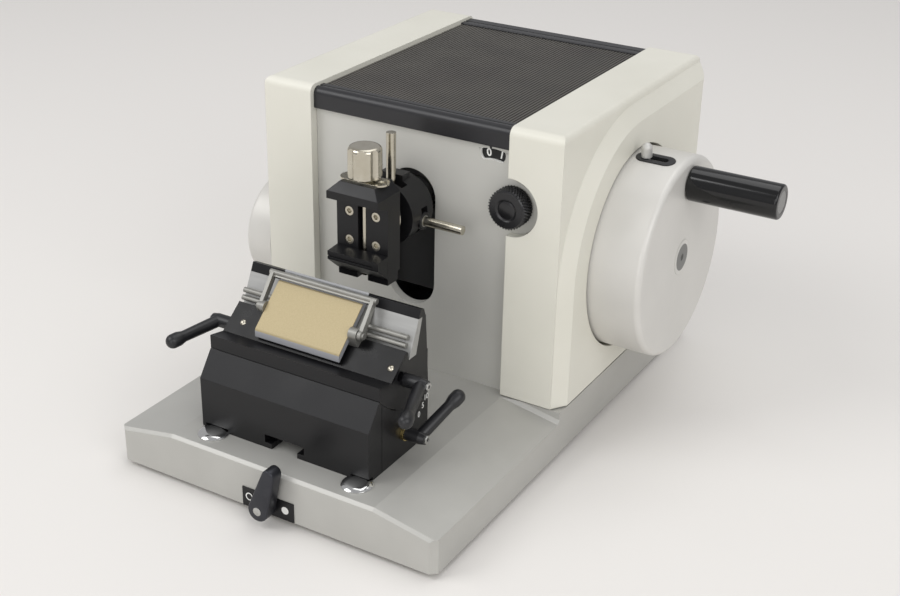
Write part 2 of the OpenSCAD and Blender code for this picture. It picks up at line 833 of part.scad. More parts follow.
module head_barrel() {
  machine() color("#1f1f21") difference() {
    union() {
      bar_y(barrel_y, barrel_back_y, 0, head_z, barrel_r);
      bar_y(barrel_y - 6, barrel_y, 0, head_z, dome_r - 2.4);
      block([-13, barrel_y + 5, head_z + 18], [8, barrel_back_y - 6, head_z + barrel_r + 3.5]);
    }
    translate([0, ball_y, head_z]) difference() {
      bar_y(-dome_r - 2, -9, 0, 0, dome_r);
      sphere(r = dome_r);
    }
    translate([0, ball_y, head_z]) sphere(r = ball_r + 0.1);
    bar_y(barrel_y - 10, ball_y, 0, head_z, 10.9);
    bar_y(barrel_y + seat_wall, quill_front - 2, 0, head_z, ring_bore);
    bar_y(quill_front, barrel_back_y + 1, 0, head_z, quill_r);
    ring_slot(release_y, 61, 119);
    ring_slot(orient_y, -48, 12);
  }
}

// A slot through the barrel's wall, from one angle to another, for a ring's pin
module ring_slot(y, a0, a1) {
  translate([0, y, head_z]) rotate([90, 0, 0]) mirror([0, 0, 1]) rotate([0, 0, a0])
    rotate_extrude(angle = a1 - a0)
      translate([12, ring_w / 2 - pin_r - 0.4]) square([30, 2 * pin_r + 0.8]);
}

// A clamping ring inside the barrel
module ring_body(y) {
  difference() {
    bar_y(y, y + ring_w, 0, head_z, ring_bore - run_gap);
    bar_y(y - 1, y + ring_w + 1, 0, head_z, 14.4);
  }
}

module release_ring() {
  machine() color("#b9b6a8") union() {
    ring_body(release_y);
    bar_z(head_z + 16, head_z + barrel_r + 4 + pin_l, 0, release_y + ring_w / 2, pin_r);
  }
}

module orient_ring() {
  machine() color("#b9b6a8") union() {
    ring_body(orient_y);
    bar_x(15, barrel_r + pin_l, orient_y + ring_w / 2, head_z - 6.5, pin_r - 0.2);
  }
}

// A shell between two spheres around the ball's middle
module tilt_ring() {
  machine() color("#c8c8c4") translate([0, ball_y, head_z]) difference() {
    sphere(r = shell_r);
    sphere(r = dome_r + slide_gap);
    bar_y(-shell_r - 1, 0, 0, 0, tilt_hole);
    block([-shell_r - 1, -13, -shell_r - 1], [shell_r + 1, shell_r + 1, shell_r + 1]);
  }
}

module clamp_ball() {
  machine() color("#aaaaa6") union() {
    bar_y(clamp_back, ball_y, 0, head_z, 7);
    difference() {
      bar_y(clamp_back, clamp_back + 7.5, 0, head_z, 14.5);
      translate([0, ball_y, head_z]) sphere(r = shell_r + slide_gap);
    }
    translate([0, ball_y, head_z]) sphere(r = ball_r);
  }
}

module clamp_body() {
  machine() color("#1f1f21") difference() {
    union() {
      along_x(-clamp_half, clamp_half) polygon([
        [clamp_back, clamp_low + 8], [clamp_back, clamp_top], [clamp_y - jaw_reach * 0.5, clamp_top],
        [jaw_front, jaw_lip_z + 6.5], [jaw_front, jaw_lip_z], [clamp_y, jaw_lip_z - 5],
        [clamp_y, clamp_low + 8]]);
      for (s = [-1, 1]) block([s > 0 ? slot_half + 1 : -clamp_half + 1, clamp_y, clamp_low],
        [s > 0 ? clamp_half : -slot_half - 1, clamp_back - 3, clamp_low + 9]);
    }
    for (s = [-1, 1]) translate([s * clamp_half, clamp_back + 1, clamp_top]) rotate([90, 0, 0])
      rotate(45) cube([11, 11, 80], center = true);
    block([-slot_half, clamp_y - 1, clamp_low - 1], [slot_half, clamp_y + 9, jaw_lip_z - 7]);
    for (s = [-1, 1]) for (z = [head_z - 13.5, head_z + 11]) bar_y(clamp_y - 1, clamp_y + 5, s * 12.5, z, 4.2);
    bar_z(jaw_lip_z - 8, clamp_top + 1, 0, spindle_y, spindle_r + 0.6);
  }
}

module jaw_screws() {
  machine() color("#b5b5b0") for (s = [-1, 1]) for (z = [head_z - 13.5, head_z + 11])
    translate([s * 12.5, clamp_y + 5, z]) rotate([90, 0, 0]) difference() {
      cylinder(h = 4.5, r = 3.9);
      translate([0, 0, 2]) cylinder(h = 4, r = 2.3, $fn = 6);
    }
}

module keeper_plate() {
  machine() color("#c9c7bd") difference() {
    along_z(clamp_top, clamp_top + 1.5) difference() {
      union() {
        translate([-13, clamp_y + 4.5 - 8.5]) square([26, 17]);
        for (s = [-1, 1]) translate([s * 13, clamp_y + 4.5]) circle(8.5);
      }
      translate([0, spindle_y]) circle(4.4);
    }
    bar_z(clamp_top + 0.8, clamp_top + 3, 16, clamp_y + 4.5, 3.4);
  }
}

module clamp_knob() {
  z0 = clamp_top + 1.9;
  machine() color("#cfcabb") translate([0, spindle_y, z0]) difference() {
    union() {
      cylinder(h = 2, r = 8);
      translate([0, 0, 1.5]) rotate_extrude($fn = 96)
        soft_rect([0, 0], [clamp_knob_r, clamp_knob_h - 1.5], [0, 1, 4, 0]);
    }
    for (a = [22.5:45:359]) rotate(a) translate([clamp_knob_r + 4.6, 0, -1]) cylinder(h = clamp_knob_h + 2, r = 6.2, $fn = 32);
    translate([0, 0, -1]) cylinder(h = 12, r = spindle_r);
  }
}

module clamp_spindle() {
  machine() color("#d0cfca") union() {
    bar_z(clamp_low + 3, clamp_top + 12, 0, spindle_y, spindle_r);
    bar_z(clamp_low + 3, clamp_low + 6, 0, spindle_y, 3.4);
  }
}

module lower_jaw() {
  machine() color("#1f1f21") difference() {
    union() {
      along_x(-clamp_half, clamp_half) polygon([
        [clamp_y - 0.2, lower_lip_z + 1], [jaw_front, lower_lip_z], [jaw_front, lower_lip_z - 7],
        [clamp_y - 0.2, lower_lip_z - 19]]);
      block([-slot_half + 0.3, clamp_y - 1, lower_lip_z - 16], [slot_half - 0.3, clamp_y + 8.6, lower_lip_z - 1]);
    }
    bar_z(lower_lip_z - 20, lower_lip_z + 4, 0, spindle_y, spindle_r + run_gap);
    along_x(-clamp_half - 1, clamp_half - 6) polygon([[jaw_front - 1, lower_lip_z - 3.4], [jaw_front + 1.2, lower_lip_z - 3.8],
      [jaw_front + 1.2, lower_lip_z - 4.6], [jaw_front - 1, lower_lip_z - 5]]);
  }
}

// ---- Knife holder ----

module holder_guide() {
  machine() color("#8a8c8e") difference() {
    union() {
      block([tslot_x - tslot_neck / 2 + slide_gap, holder_y + 24, base_h], [tslot_x + tslot_neck / 2 - slide_gap, holder_back - 4, base_h + tslot_neck_h + 1]);
      block([tslot_x - tslot_wide / 2 + slide_gap, holder_y + 24, base_h + tslot_neck_h + 0.3], [tslot_x + tslot_wide / 2 - slide_gap, holder_back - 4, base_h + tslot_neck_h + tslot_h - 0.4]);
    }
    for (y = [holder_y + 38, holder_back - 18]) bar_z(base_h + 6, base_h + 20, tslot_x, y, 5);
  }
}

module seat_pads() {
  machine() color("#d8d8d6") for (s = [-1, 1]) translate([s * 70, 20, base_h + 0.05]) rotate_extrude()
    polygon([[0, 0], [12.5, 0], [12.5, 1], [6.5, 2.6], [6.5, 3.6], [0, 3.6]]);
}

module holder_base() {
  machine() color("#222226") difference() {
    along_x(holder_l, holder_r) polygon([[holder_y, base_h + 0.05], [holder_back, base_h + 0.05],
      [holder_back, edge_z - seat_r + 14], [edge_y - 20, edge_z - seat_r + 30], [seat_front_y, seat_front_z],
      [holder_y, face_z]]);
    bar_x(holder_l - 1, holder_r + 1, edge_y, edge_z, seat_r);
    block([holder_r - cheek_w - slide_gap, holder_y + 30, base_h + 10], [holder_r + 1, holder_back + 1, big]);
    along_y(holder_y - 1, holder_back + 1) union() {
      translate([tslot_x - tslot_neck / 2, base_h - 1]) square([tslot_neck, tslot_neck_h + 2]);
      translate([tslot_x - tslot_wide / 2, base_h + tslot_neck_h]) square([tslot_wide, tslot_h]);
    }
    for (s = [-1, 1]) bar_z(base_h - 1, base_h + 3.65, s * 70, 20, 12.8);
    bar_x(holder_r - cheek_w - 20, holder_r, tilt_axis[0], tilt_axis[1], 3);
  }
}

// The tilting upper part; its underside is part of a cylinder around the blade edge
module holder_segment() {
  tilt_y = tilt_axis[0];
  machine() color("#222226") difference() {
    union() {
      intersection() {
        along_x(holder_l, holder_r) polygon([[seat_front_y + 0.4, seat_front_z - 30],
          [seat_front_y + 0.4, seat_front_z + 11.5], guard_front - [0.1, 0.1], guard_in(0), guard_in(1),
          [81.1, 120.2], [support_back[0], 120.2], [support_back[1], support_top[1]],
          [105.6, support_top[1]], [108, 118], [holder_back, 90], [holder_back, 60]]);
        bar_x(holder_l - 1, holder_r + 1, edge_y, edge_z, seat_r - slide_gap);
      }
      along_x(holder_r - cheek_w, holder_r) difference() {
        intersection() {
          translate([edge_y, edge_z]) circle(100);
          polygon([[63, 112], [63, 78], [71, 48], [holder_back - 1, 48], [holder_back - 1, 118], [92, 118]]);
        }
        tilt_slot();
      }
    }
    for (x = guard_screw_x) on_guard(x) translate([0, 0, -3.7]) cylinder(h = 3, r = 1.65);
    bar_x(holder_l - 1, holder_r + 1, blade_axis[0], blade_axis[1], 4 + run_gap);
    bar_x(holder_r - cheek_w - 12, holder_r + 1, shift_axis[0], shift_axis[1], 3 + run_gap);
  }
}

// A point of the guard plate's underside: u is 0 at its front and 1 at its back
function guard_in(u) = guard_front + u * (guard_back - guard_front)
  + guard_t * [sin(guard_angle), -cos(guard_angle)];

// The curved slot that the tilt lever's stud runs in
module tilt_slot() {
  reach = norm([edge_y - tilt_axis[0], edge_z - tilt_axis[1]]);
  along = atan2(tilt_axis[1] - edge_z, tilt_axis[0] - edge_y);
  translate([edge_y, edge_z]) {
    difference() {
      intersection() {
        circle(reach + 3.4);
        polygon([[0, 0], 130 * [cos(along - 5), sin(along - 5)], 130 * [cos(along + 5), sin(along + 5)]]);
      }
      circle(reach - 3.4);
    }
    for (a = [along - 5, along + 5]) translate(reach * [cos(a), sin(a)]) circle(3.4);
  }
}

// Places children on the guard plate: +Z is its outward normal
module on_guard(x) {
  middle = guard_front + 0.41 * (guard_back - guard_front);
  translate([x, middle[0], middle[1]]) rotate([guard_angle, 0, 0]) children();
}

module guard_plate() {
  machine() color("#262628") difference() {
    along_x(holder_l, holder_r) polygon([guard_front, guard_back, guard_in(1), guard_in(0)]);
    for (x = guard_screw_x) on_guard(x) translate([0, 0, -4]) cylinder(h = 8, r = 1.8);
  }
}

module guard_screws() {
  machine() color("#c9c9c6") for (x = guard_screw_x) on_guard(x) union() {
    translate([0, 0, -3.6]) cylinder(h = 4, r = 1.65);
    translate([0, 0, 0.05]) intersection() {
      translate([0, 0, -1.9]) sphere(r = 3.4);
      translate([-5, -5, 0]) cube([10, 10, 5]);
    }
  }
}

module back_plate() {
  machine() color("#b4b4b0") along_x(holder_l, holder_r) polygon([support_low, support_top,
    [support_back[1], support_top[1]], [support_back[0], support_low[1]]]);
}

module back_strip() {
  machine() color("#1b1b1d") along_x(holder_l, holder_r)
    polygon([[95.5, support_top[1] + 0.05], [98.7, 156], [103, 154.8], [105, support_top[1] + 0.05]]);
}

module shift_rods() {
  machine() color("#c8c8c2") for (p = rods) bar_x(holder_l, holder_r - 4, p[0], p[1], rod_r);
}

// A clamping lever on a hub along +X: axis is its (y, z), turn swings the arm from straight up
module clamp_lever(x0, axis, turn, stud_in, stud_r) {
  translate([x0, axis[0], axis[1]]) union() {
    bar_x(slide_gap, hub_l, 0, 0, hub_r);
    translate([hub_l, 0, 0]) rotate([0, 90, 0]) cylinder(h = 5, r1 = hub_r, r2 = hub_r - 1);
    bar_x(hub_l, hub_l + 6.5, 0, 0, 2.7);
    bar_x(-stud_in, 1, 0, 0, stud_r);
    rotate([turn, 0, 0]) translate([hub_l - 1, 0, 0]) rotate([0, lever_lean, 0]) lever_arm();
  }
}

// A tapered round arm that ends in a bulge
module lever_arm() {
  cylinder(h = lever_l - 6, r1 = 4.3, r2 = 3.8);
  translate([0, 0, lever_l - 12]) cylinder(h = 6.4, r = 4.6);
  for (z = [lever_l - 12, lever_l - 5.6]) translate([0, 0, z]) sphere(r = 4.6);
}

module blade_lever() {
  machine() color("#151517") mirror([1, 0, 0])
    clamp_lever(-holder_l, blade_axis, 96, holder_w - cheek_w - 20, 4);
}

module shift_lever() {
  machine() color("#151517") clamp_lever(holder_r, shift_axis, 100, cheek_w + 8, 3);
}

module tilt_lever() {
  machine() color("#151517") clamp_lever(holder_r, tilt_axis, -58, cheek_w + 16, 3 - run_gap);
}

module blade_carriage() {
  x0 = blade_x - cheek_in - cheek_left;
  x1 = blade_x + cheek_in + cheek_right;
  machine() color("#55565a") difference() {
    union() {
      along_x(x0, x1) polygon([[71.9, 127.3], [93.9, 147.1], [83.4, 125], [81.7, 126.5], [79.4, 129.4],
        [71.9, 123.6]]);
      for (x = [[x0, blade_x - cheek_in], [blade_x + cheek_in, x1]]) along_x(x[0], x[1]) union() {
        translate(finger_axis) circle(5);
        polygon([[69.4, 130.5], [71.9, 123.6], [79.4, 129.4], [77.5, 136]]);
      }
    }
    for (p = rods) bar_x(-big, big, p[0], p[1], rod_r + run_gap);
    for (x = [x0 - 1, x1 - 1.6]) bar_x(x, x + 2.6, finger_axis[0], finger_axis[1], 2.6 + run_gap);
    for (x = [blade_x - cheek_in - 1.6, blade_x + cheek_in - 1])
      bar_x(x, x + 2.6, trunnion[0], trunnion[1], 1.6 + run_gap);
  }
}

module pressure_plate() {
  x0 = blade_x - blade_w / 2;
  x1 = blade_x + blade_w / 2;
  machine() color("#cdbd90") union() {
    translate([0, press_front[0], press_front[1]]) rotate([press_angle, 0, 0]) along_x(x0, x1) union() {
      soft_rect([0, -press_t], [press_l, 0], [2.5, 0, 0, 2.5]);
      polygon([[press_l - 1, 0], [press_l, 0], [press_l + 6, -press_t + 1.6], [press_l + 2.1, -press_t],
        [press_l - 1, -press_t]]);
    }
    bar_x(x0 - 1.5, x1 + 1.5, trunnion[0], trunnion[1], 1.6);
  }
}

module blade() {
  machine() color("#dcdcda") along_x(blade_x - blade_w / 2, blade_x + blade_w / 2)
    translate([95.4, 149.1]) rotate(support_angle)
      polygon([[0, 0.06], [blade_l, 0.06], [blade_l - 1.4, 0.32], [0, 0.32]]);
}

module finger_guard() {
  left = blade_x - cheek_in - cheek_left - arm_gap - arm_t;
  right = blade_x + cheek_in + cheek_right + arm_gap;
  rise = finger_rod - finger_axis;
  machine() color("#b9b9b4") union() {
    bar_x(left - 1.5, right + arm_t + 1.5, finger_rod[0], finger_rod[1], 2.3);
    for (x = [left, right]) along_x(x, x + arm_t) union() {
      translate(finger_axis) circle(4);
      translate(finger_rod) circle(2.3);
      translate(finger_axis) rotate(atan2(rise[1], rise[0])) translate([0, -2.3]) square([norm(rise), 4.6]);
    }
    bar_x(left - 1.7, left + arm_t + arm_gap + 1.4, finger_axis[0], finger_axis[1], 2.6);
    bar_x(right - arm_gap - 1.4, right + arm_t + 1.7, finger_axis[0], finger_axis[1], 2.6);
  }
}

// ---- Front clamp lever ----

module lever_plate() {
  machine() color("#3a3a3c") difference() {
    block([-25, -0.8, 0.3], [24, 0, 17.3]);
    bar_y(-2, 1, 0, lever_pivot_z, 4 + run_gap);
  }
}

module base_lever() {
  machine() color("#38383a") translate([0, 0, lever_pivot_z]) union() {
    rotate([0, 17.5, 0]) along_y(-15, -3) union() {
      circle(9);
      translate([0, 36]) circle(5.5);
      polygon([[-8.9, 1], [8.9, 1], [5.4, 37], [-5.4, 37]]);
    }
    bar_y(-3.1, -0.9, 0, 0, 8);
    bar_y(-15.6, -14, 0, 0, 5);
    bar_y(-1, -0.1, 0, 0, 4);
  }
}

base_plate();
rubber_feet();
left_cover();
right_cover();
front_plate();
top_pan();
top_mat();
front_trim();
rear_trim();
rear_panel();
main_casting();
shaft_bearings();
slide_rails();
holder_guide();
seat_pads();
lever_plate();
panel_screws();
handwheel();
drive_shaft();
crank_disc();
hub_cap();
handle_axle();
lock_plate();
handle_grip();
lock_pin();
setting_knob();
setting_pinion();
setting_dial();
slide_carriage();
slot_shield();
feed_quill();
head_barrel();
coarse_wheel();
coarse_shaft();
release_ring();
orient_ring();
tilt_ring();
clamp_body();
clamp_ball();
jaw_screws();
keeper_plate();
clamp_knob();
clamp_spindle();
lower_jaw();
holder_base();
base_lever();
holder_segment();
guard_plate();
guard_screws();
back_plate();
back_strip();
shift_rods();
blade_lever();
shift_lever();
tilt_lever();
blade_carriage();
pressure_plate();
blade();
finger_guard();
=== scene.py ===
# %% [markdown]
# # Dressing a rotary microtome
#
# A rotary microtome shaves thin sections off a specimen: its handwheel carries the specimen past a
# fixed blade and feeds it forward a little on each turn. The solids of this machine come from its
# CAD model, so every size is settled before Blender starts. What is left is what the eye reads:
# satin paint, black anodised metal, polished nickel, ribbed rubber, numbers on a dial. This first
# cell loads the solids as a fixed frame.

# %% Load the solids
import math
import bmesh
import bpy
from mathutils import Matrix, Quaternion, Vector


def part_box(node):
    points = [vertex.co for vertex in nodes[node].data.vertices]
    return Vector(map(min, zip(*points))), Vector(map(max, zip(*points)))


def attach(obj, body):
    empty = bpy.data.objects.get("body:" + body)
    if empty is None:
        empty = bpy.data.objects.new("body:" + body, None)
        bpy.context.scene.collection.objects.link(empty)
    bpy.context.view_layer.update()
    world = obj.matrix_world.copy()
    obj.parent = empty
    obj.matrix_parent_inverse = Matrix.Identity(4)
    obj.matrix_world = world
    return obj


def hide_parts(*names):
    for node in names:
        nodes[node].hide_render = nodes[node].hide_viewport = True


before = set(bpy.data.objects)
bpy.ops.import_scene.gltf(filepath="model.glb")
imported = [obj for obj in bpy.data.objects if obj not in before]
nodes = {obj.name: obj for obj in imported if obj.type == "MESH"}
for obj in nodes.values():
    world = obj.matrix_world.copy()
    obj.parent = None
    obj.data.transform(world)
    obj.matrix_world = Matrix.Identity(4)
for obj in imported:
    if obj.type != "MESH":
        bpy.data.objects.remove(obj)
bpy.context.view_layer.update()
MM = 0.001

# %% [markdown]
# ## The camera
#
# The machine is seen from its front right, a little above. A camera has a place, a direction and a
# roll. The direction comes from two angles, and the roll turns the camera about its own viewing
# axis, so both are written as angles rather than as a matrix. Lamps are aimed in the same way, so
# placing and aiming are small functions of their own.

# %% Camera
EYE = (0.582546, -0.960849, 0.641697)
HEADING = math.radians(30.2575)
DOWNWARD = math.radians(26.1299)
ROLL = math.radians(1.1739)
LENS_MM = 57.34
SENSOR_WIDTH_MM = 36


def in_scene(name, data):
    """Makes an object of its data and links it to the scene."""
    made = bpy.data.objects.new(name, data)
    bpy.context.scene.collection.objects.link(made)
    return made


def aim(thing, place, direction, roll=0.0):
    """Stands a camera or a lamp at a place, looking in a direction."""
    thing.location = place
    thing.rotation_mode = "QUATERNION"
    thing.rotation_quaternion = direction.to_track_quat("-Z", "Y") @ Quaternion((0, 0, 1), roll)


look = Vector((-math.sin(HEADING) * math.cos(DOWNWARD), math.cos(HEADING) * math.cos(DOWNWARD),
               -math.sin(DOWNWARD)))
camera = in_scene("camera", bpy.data.cameras.new("camera"))
camera.data.lens = LENS_MM
camera.data.sensor_width = SENSOR_WIDTH_MM
camera.data.sensor_fit = "HORIZONTAL"
aim(camera, EYE, look, ROLL)
bpy.context.scene.camera = camera
bpy.context.scene.view_settings.view_transform = "Standard"
print("camera lens", LENS_MM, "mm")

# %% [markdown]
# ## Colours and nodes
#
# A colour is easiest to pick and compare as a hex value, but shaders work in linear light, so one
# function converts it. A second small function adds a shader node: settings go on the node, and
# each input is either a plain value or the output of another node.

# %% Colour and node helpers
def colour(code):
    """Turns an sRGB hex code into a linear colour with alpha."""
    # The sRGB curve is straight close to black and a power of 2.4 above that.
    parts = [int(code[i:i + 2], 16) / 255 for i in (1, 3, 5)]
    linear = [c / 12.92 if c <= 0.04045 else ((c + 0.055) / 1.055) ** 2.4 for c in parts]
    return (*linear, 1.0)


def add(tree, kind, inputs=None, **settings):
    """Adds a node. An input is a value, or an output of another node."""
    made = tree.nodes.new(kind)
    for name, value in settings.items():
        setattr(made, name, value)
    for name, value in (inputs or {}).items():
        if isinstance(value, bpy.types.NodeSocket):
            tree.links.new(value, made.inputs[name])
        else:
            made.inputs[name].default_value = value
    return made


def per_metre(size_mm):
    """The texture scale at which one feature is size_mm long."""
    return 1000 / size_mm


print("cream is", [round(c, 3) for c in colour("#d9d7cb")])

# %% [markdown]
# ## How a surface is put together
#
# Every finish on this machine has the same three layers: a colour that is never quite even, a
# gloss that varies a little where hands and cloths have been, and a fine relief. Machined and
# moulded edges are never knife sharp either, so the normal first passes through a Bevel node,
# which lets each edge catch the light. One function makes that stack from real sizes in
# millimetres, and each finish below calls it with its own numbers.

# %% Surface helper
NOISE_LOW, NOISE_HIGH = 0.3, 0.7    # nearly all of a noise texture's values lie between these
PATCH_DETAIL = 3.0
GRAIN_DETAIL = 2.0
EDGE_SAMPLES = 4


def surface(name, low, high, patch_mm, roughness, gloss_shift, relief_mm, relief_depth_mm,
            edge_mm=0.5, metallic=0.0, specular=0.5, stretch=(1, 1, 1)):
    """A material whose colour runs between two hex codes in patches of patch_mm.

    The roughness moves with the colour by gloss_shift, the grain is relief_mm wide and
    relief_depth_mm deep, and edge_mm is the radius at which edges look rounded.
    """
    material = bpy.data.materials.new(name)
    material.use_nodes = True
    tree = material.node_tree
    shader = tree.nodes["Principled BSDF"]
    shader.inputs["Metallic"].default_value = metallic
    shader.inputs["Specular IOR Level"].default_value = specular
    place = add(tree, "ShaderNodeTexCoord")
    spread = add(tree, "ShaderNodeMapping",
                 {"Vector": place.outputs["Object"], "Scale": stretch})
    patches = add(tree, "ShaderNodeTexNoise", {"Vector": spread.outputs[0],
                  "Scale": per_metre(patch_mm), "Detail": PATCH_DETAIL})
    ramp = add(tree, "ShaderNodeValToRGB", {"Fac": patches.outputs["Fac"]})
    for stop, position, code in zip(ramp.color_ramp.elements, (NOISE_LOW, NOISE_HIGH), (low, high)):
        stop.position = position
        stop.color = colour(code)
    tree.links.new(ramp.outputs["Color"], shader.inputs["Base Color"])
    shine = add(tree, "ShaderNodeMapRange", {"Value": patches.outputs["Fac"],
                "From Min": NOISE_LOW, "From Max": NOISE_HIGH,
                "To Min": roughness - gloss_shift, "To Max": roughness + gloss_shift})
    tree.links.new(shine.outputs["Result"], shader.inputs["Roughness"])
    edges = add(tree, "ShaderNodeBevel", {"Radius": edge_mm * MM}, samples=EDGE_SAMPLES)
    grain = add(tree, "ShaderNodeTexNoise", {"Vector": spread.outputs[0],
                "Scale": per_metre(relief_mm), "Detail": GRAIN_DETAIL})
    relief = add(tree, "ShaderNodeBump", {"Height": grain.outputs["Fac"], "Strength": 1.0,
                 "Distance": relief_depth_mm * MM, "Normal": edges.outputs["Normal"]})
    tree.links.new(relief.outputs["Normal"], shader.inputs["Normal"])
    return material


def dress(material, *names):
    """Gives CAD solids their finish."""
    for name in names:
        solid = nodes[name]
        solid.data.materials.clear()
        solid.data.materials.append(material)
    print(material.name, "on", len(names), "solids")


print("patches of 90 mm have a noise scale of", round(per_metre(90), 1))

# %% [markdown]
# ## Paint
#
# The covers are cream powder coat: baked polyester with a soft satin gloss and a faint orange
# peel. The base, the front plate and both wheels carry a silver lacquer, in which fine
# aluminium flakes give a half-metallic sheen. The flakes are finer than a pixel, so the grain
# is drawn at about half a millimetre to stay visible. One flat colour would look like plastic on
# such large panels, so the tone drifts slowly, in patches about as wide as a hand.

# %% Painted finishes
# Polyester powder, baked: satin, with softly rounded edges.
cream_coat = surface("cream powder coat", "#d9d7cb", "#dfddd2", patch_mm=90, roughness=0.42,
                     gloss_shift=0.04, relief_mm=0.9, relief_depth_mm=0.012, edge_mm=0.8)
dress(cream_coat, "left_cover", "right_cover")

# Sprayed lacquer with aluminium flakes: a cool grey that brightens towards the lamp.
silver_lacquer = surface("silver lacquer", "#b1b0ab", "#b9b8b3", patch_mm=60, roughness=0.42,
                         gloss_shift=0.04, relief_mm=0.5, relief_depth_mm=0.01, edge_mm=0.6,
                         metallic=0.25)
dress(silver_lacquer, "base_plate")

# The same lacquer with fewer flakes: paler and flatter on the sheet metal.
plate_lacquer = surface("pale silver lacquer", "#c2c1bb", "#c9c8c2", patch_mm=80, roughness=0.45,
                        gloss_shift=0.03, relief_mm=0.5, relief_depth_mm=0.01, edge_mm=0.4,
                        metallic=0.15)
dress(plate_lacquer, "front_plate", "rear_panel", "top_pan")

# The wheels' lacquer has a warm tint, close to champagne.
wheel_lacquer = surface("champagne silver lacquer", "#cfcdc8", "#d6d4cf", patch_mm=60,
                        roughness=0.42, gloss_shift=0.03, relief_mm=0.5, relief_depth_mm=0.01,
                        edge_mm=0.7, metallic=0.15)
dress(wheel_lacquer, "handwheel", "coarse_wheel")

# Enamel brushed over a rough casting: dull, with the grain of the mould showing through.
casting_paint = surface("grey casting enamel", "#7f858a", "#8b9196", patch_mm=25, roughness=0.5,
                        gloss_shift=0.05, relief_mm=1.5, relief_depth_mm=0.05)
dress(casting_paint, "main_casting", "slide_carriage")

# %% [markdown]
# ## Black metal
#
# The specimen head and the knife holder are machined from aluminium and black anodised. The dye
# sits in a hard, slightly porous skin, so it is a very dark grey with a broad soft highlight and
# a trace of the milling marks. The marks are drawn wider than the real ones, so that they show.
# The skin reflects less than bare plastic does, which a lower specular level gives.

# %% Black finishes
# Dyed oxide on milled aluminium: dark grey, with a wide dim highlight.
black_anodised = surface("black anodised aluminium", "#0f0f11", "#151517", patch_mm=30,
                         roughness=0.36, gloss_shift=0.05, relief_mm=0.5, relief_depth_mm=0.006,
                         edge_mm=0.35, metallic=0.05, specular=0.36)
dress(black_anodised, "holder_base", "holder_segment", "back_strip", "clamp_body",
      "lower_jaw", "head_barrel", "lever_plate")

# The guard plate took more dye: nearly black, and smoother.
guard_black = surface("dense black anodised plate", "#0b0b0c", "#101011", patch_mm=12,
                      roughness=0.3, gloss_shift=0.04, relief_mm=0.4, relief_depth_mm=0.004,
                      edge_mm=0.3, specular=0.25)
dress(guard_black, "guard_plate")

# Textured paint over sheet steel: its specks are about a millimetre wide and glitter a little.
lock_black = surface("fine textured black plate", "#202022", "#2a2a2d", patch_mm=1.2,
                     roughness=0.34, gloss_shift=0.06, relief_mm=0.4, relief_depth_mm=0.02,
                     metallic=0.2)
dress(lock_black, "lock_plate")

# Oil-blackened steel: a dark grey that is still plainly metal.
dark_steel = surface("blackened steel", "#34353a", "#3d3e43", patch_mm=12, roughness=0.36,
                     gloss_shift=0.05, relief_mm=0.4, relief_depth_mm=0.006, edge_mm=0.3,
                     metallic=0.7)
dress(dark_steel, "panel_screws", "base_lever")

# %% [markdown]
# ## Gold on one face
#
# The pressure plate is gold anodised on its top face, while its ground sides show bare metal. Two
# materials on one solid would need its faces picked out one by one. A test of each point's height
# above the plate's slanted top does the same: the plate's front edge and slope are known, so the
# top layer is a thin slab in space.

# %% Gold anodised finish
BASE_DEPTH = 466                    # millimetres from the base's front edge to its back
PRESS_FRONT = (57, 121.4)           # y and z of the pressure plate's front edge
PRESS_ANGLE = math.radians(41.9)    # its slope
GOLD_DEPTH_MM = 0.8


def on_top_only(material, front, angle, depth_mm, under):
    """Shows the colour only in a slab under a slanted face, and another one below it."""
    tree = material.node_tree
    shader = tree.nodes["Principled BSDF"]
    tint = shader.inputs["Base Color"].links[0].from_socket
    place = add(tree, "ShaderNodeTexCoord")
    height = add(tree, "ShaderNodeVectorMath", {0: place.outputs["Object"],
                 1: (0, -math.sin(angle), math.cos(angle))}, operation="DOT_PRODUCT")
    level = (-math.sin(angle) * (front[0] - BASE_DEPTH / 2) * MM
             + math.cos(angle) * front[1] * MM)
    top = add(tree, "ShaderNodeMath", {0: height.outputs["Value"], 1: level - depth_mm * MM},
              operation="GREATER_THAN")
    # A Mix node repeats each socket's name for every type of data, so its colours go by number.
    mixed = add(tree, "ShaderNodeMix", {0: top.outputs[0], 6: colour(under), 7: tint},
                data_type="RGBA")
    tree.links.new(mixed.outputs[2], shader.inputs["Base Color"])


# Dyed oxide on bead-blasted aluminium: soft and warm, hardly mirroring.
gold_anodised = surface("gold anodised aluminium", "#ab9c77", "#b6a783", patch_mm=0.9,
                        roughness=0.5, gloss_shift=0.03, relief_mm=0.3, relief_depth_mm=0.006,
                        edge_mm=0.3, metallic=0.2)
on_top_only(gold_anodised, PRESS_FRONT, PRESS_ANGLE, GOLD_DEPTH_MM, "#a3a4a8")
dress(gold_anodised, "pressure_plate")

# %% [markdown]
# ## Nickel
#
# Parts that are handled all day are nickel plated, because bare steel would rust from wet gloves.
# Nickel has a warmer tint than chrome. The head's fittings are polished, and the guard and the
# blade's carriage are satin, so that they don't dazzle the operator. Plating is far too thin to
# need a shape of its own: a metal with a warm colour is enough, and its roughness alone makes it
# polished or satin.

# %% Nickel finishes
# Plated over polished steel: a clear but slightly blurred mirror.
polished_nickel = surface("polished nickel", "#b9b3a4", "#c6c1b3", patch_mm=10, roughness=0.24,
                          gloss_shift=0.04, relief_mm=0.8, relief_depth_mm=0.002, edge_mm=0.3,
                          metallic=1.0)
dress(polished_nickel, "release_ring", "orient_ring", "clamp_knob", "clamp_spindle",
      "keeper_plate", "seat_pads", "jaw_screws", "guard_screws", "tilt_ring")

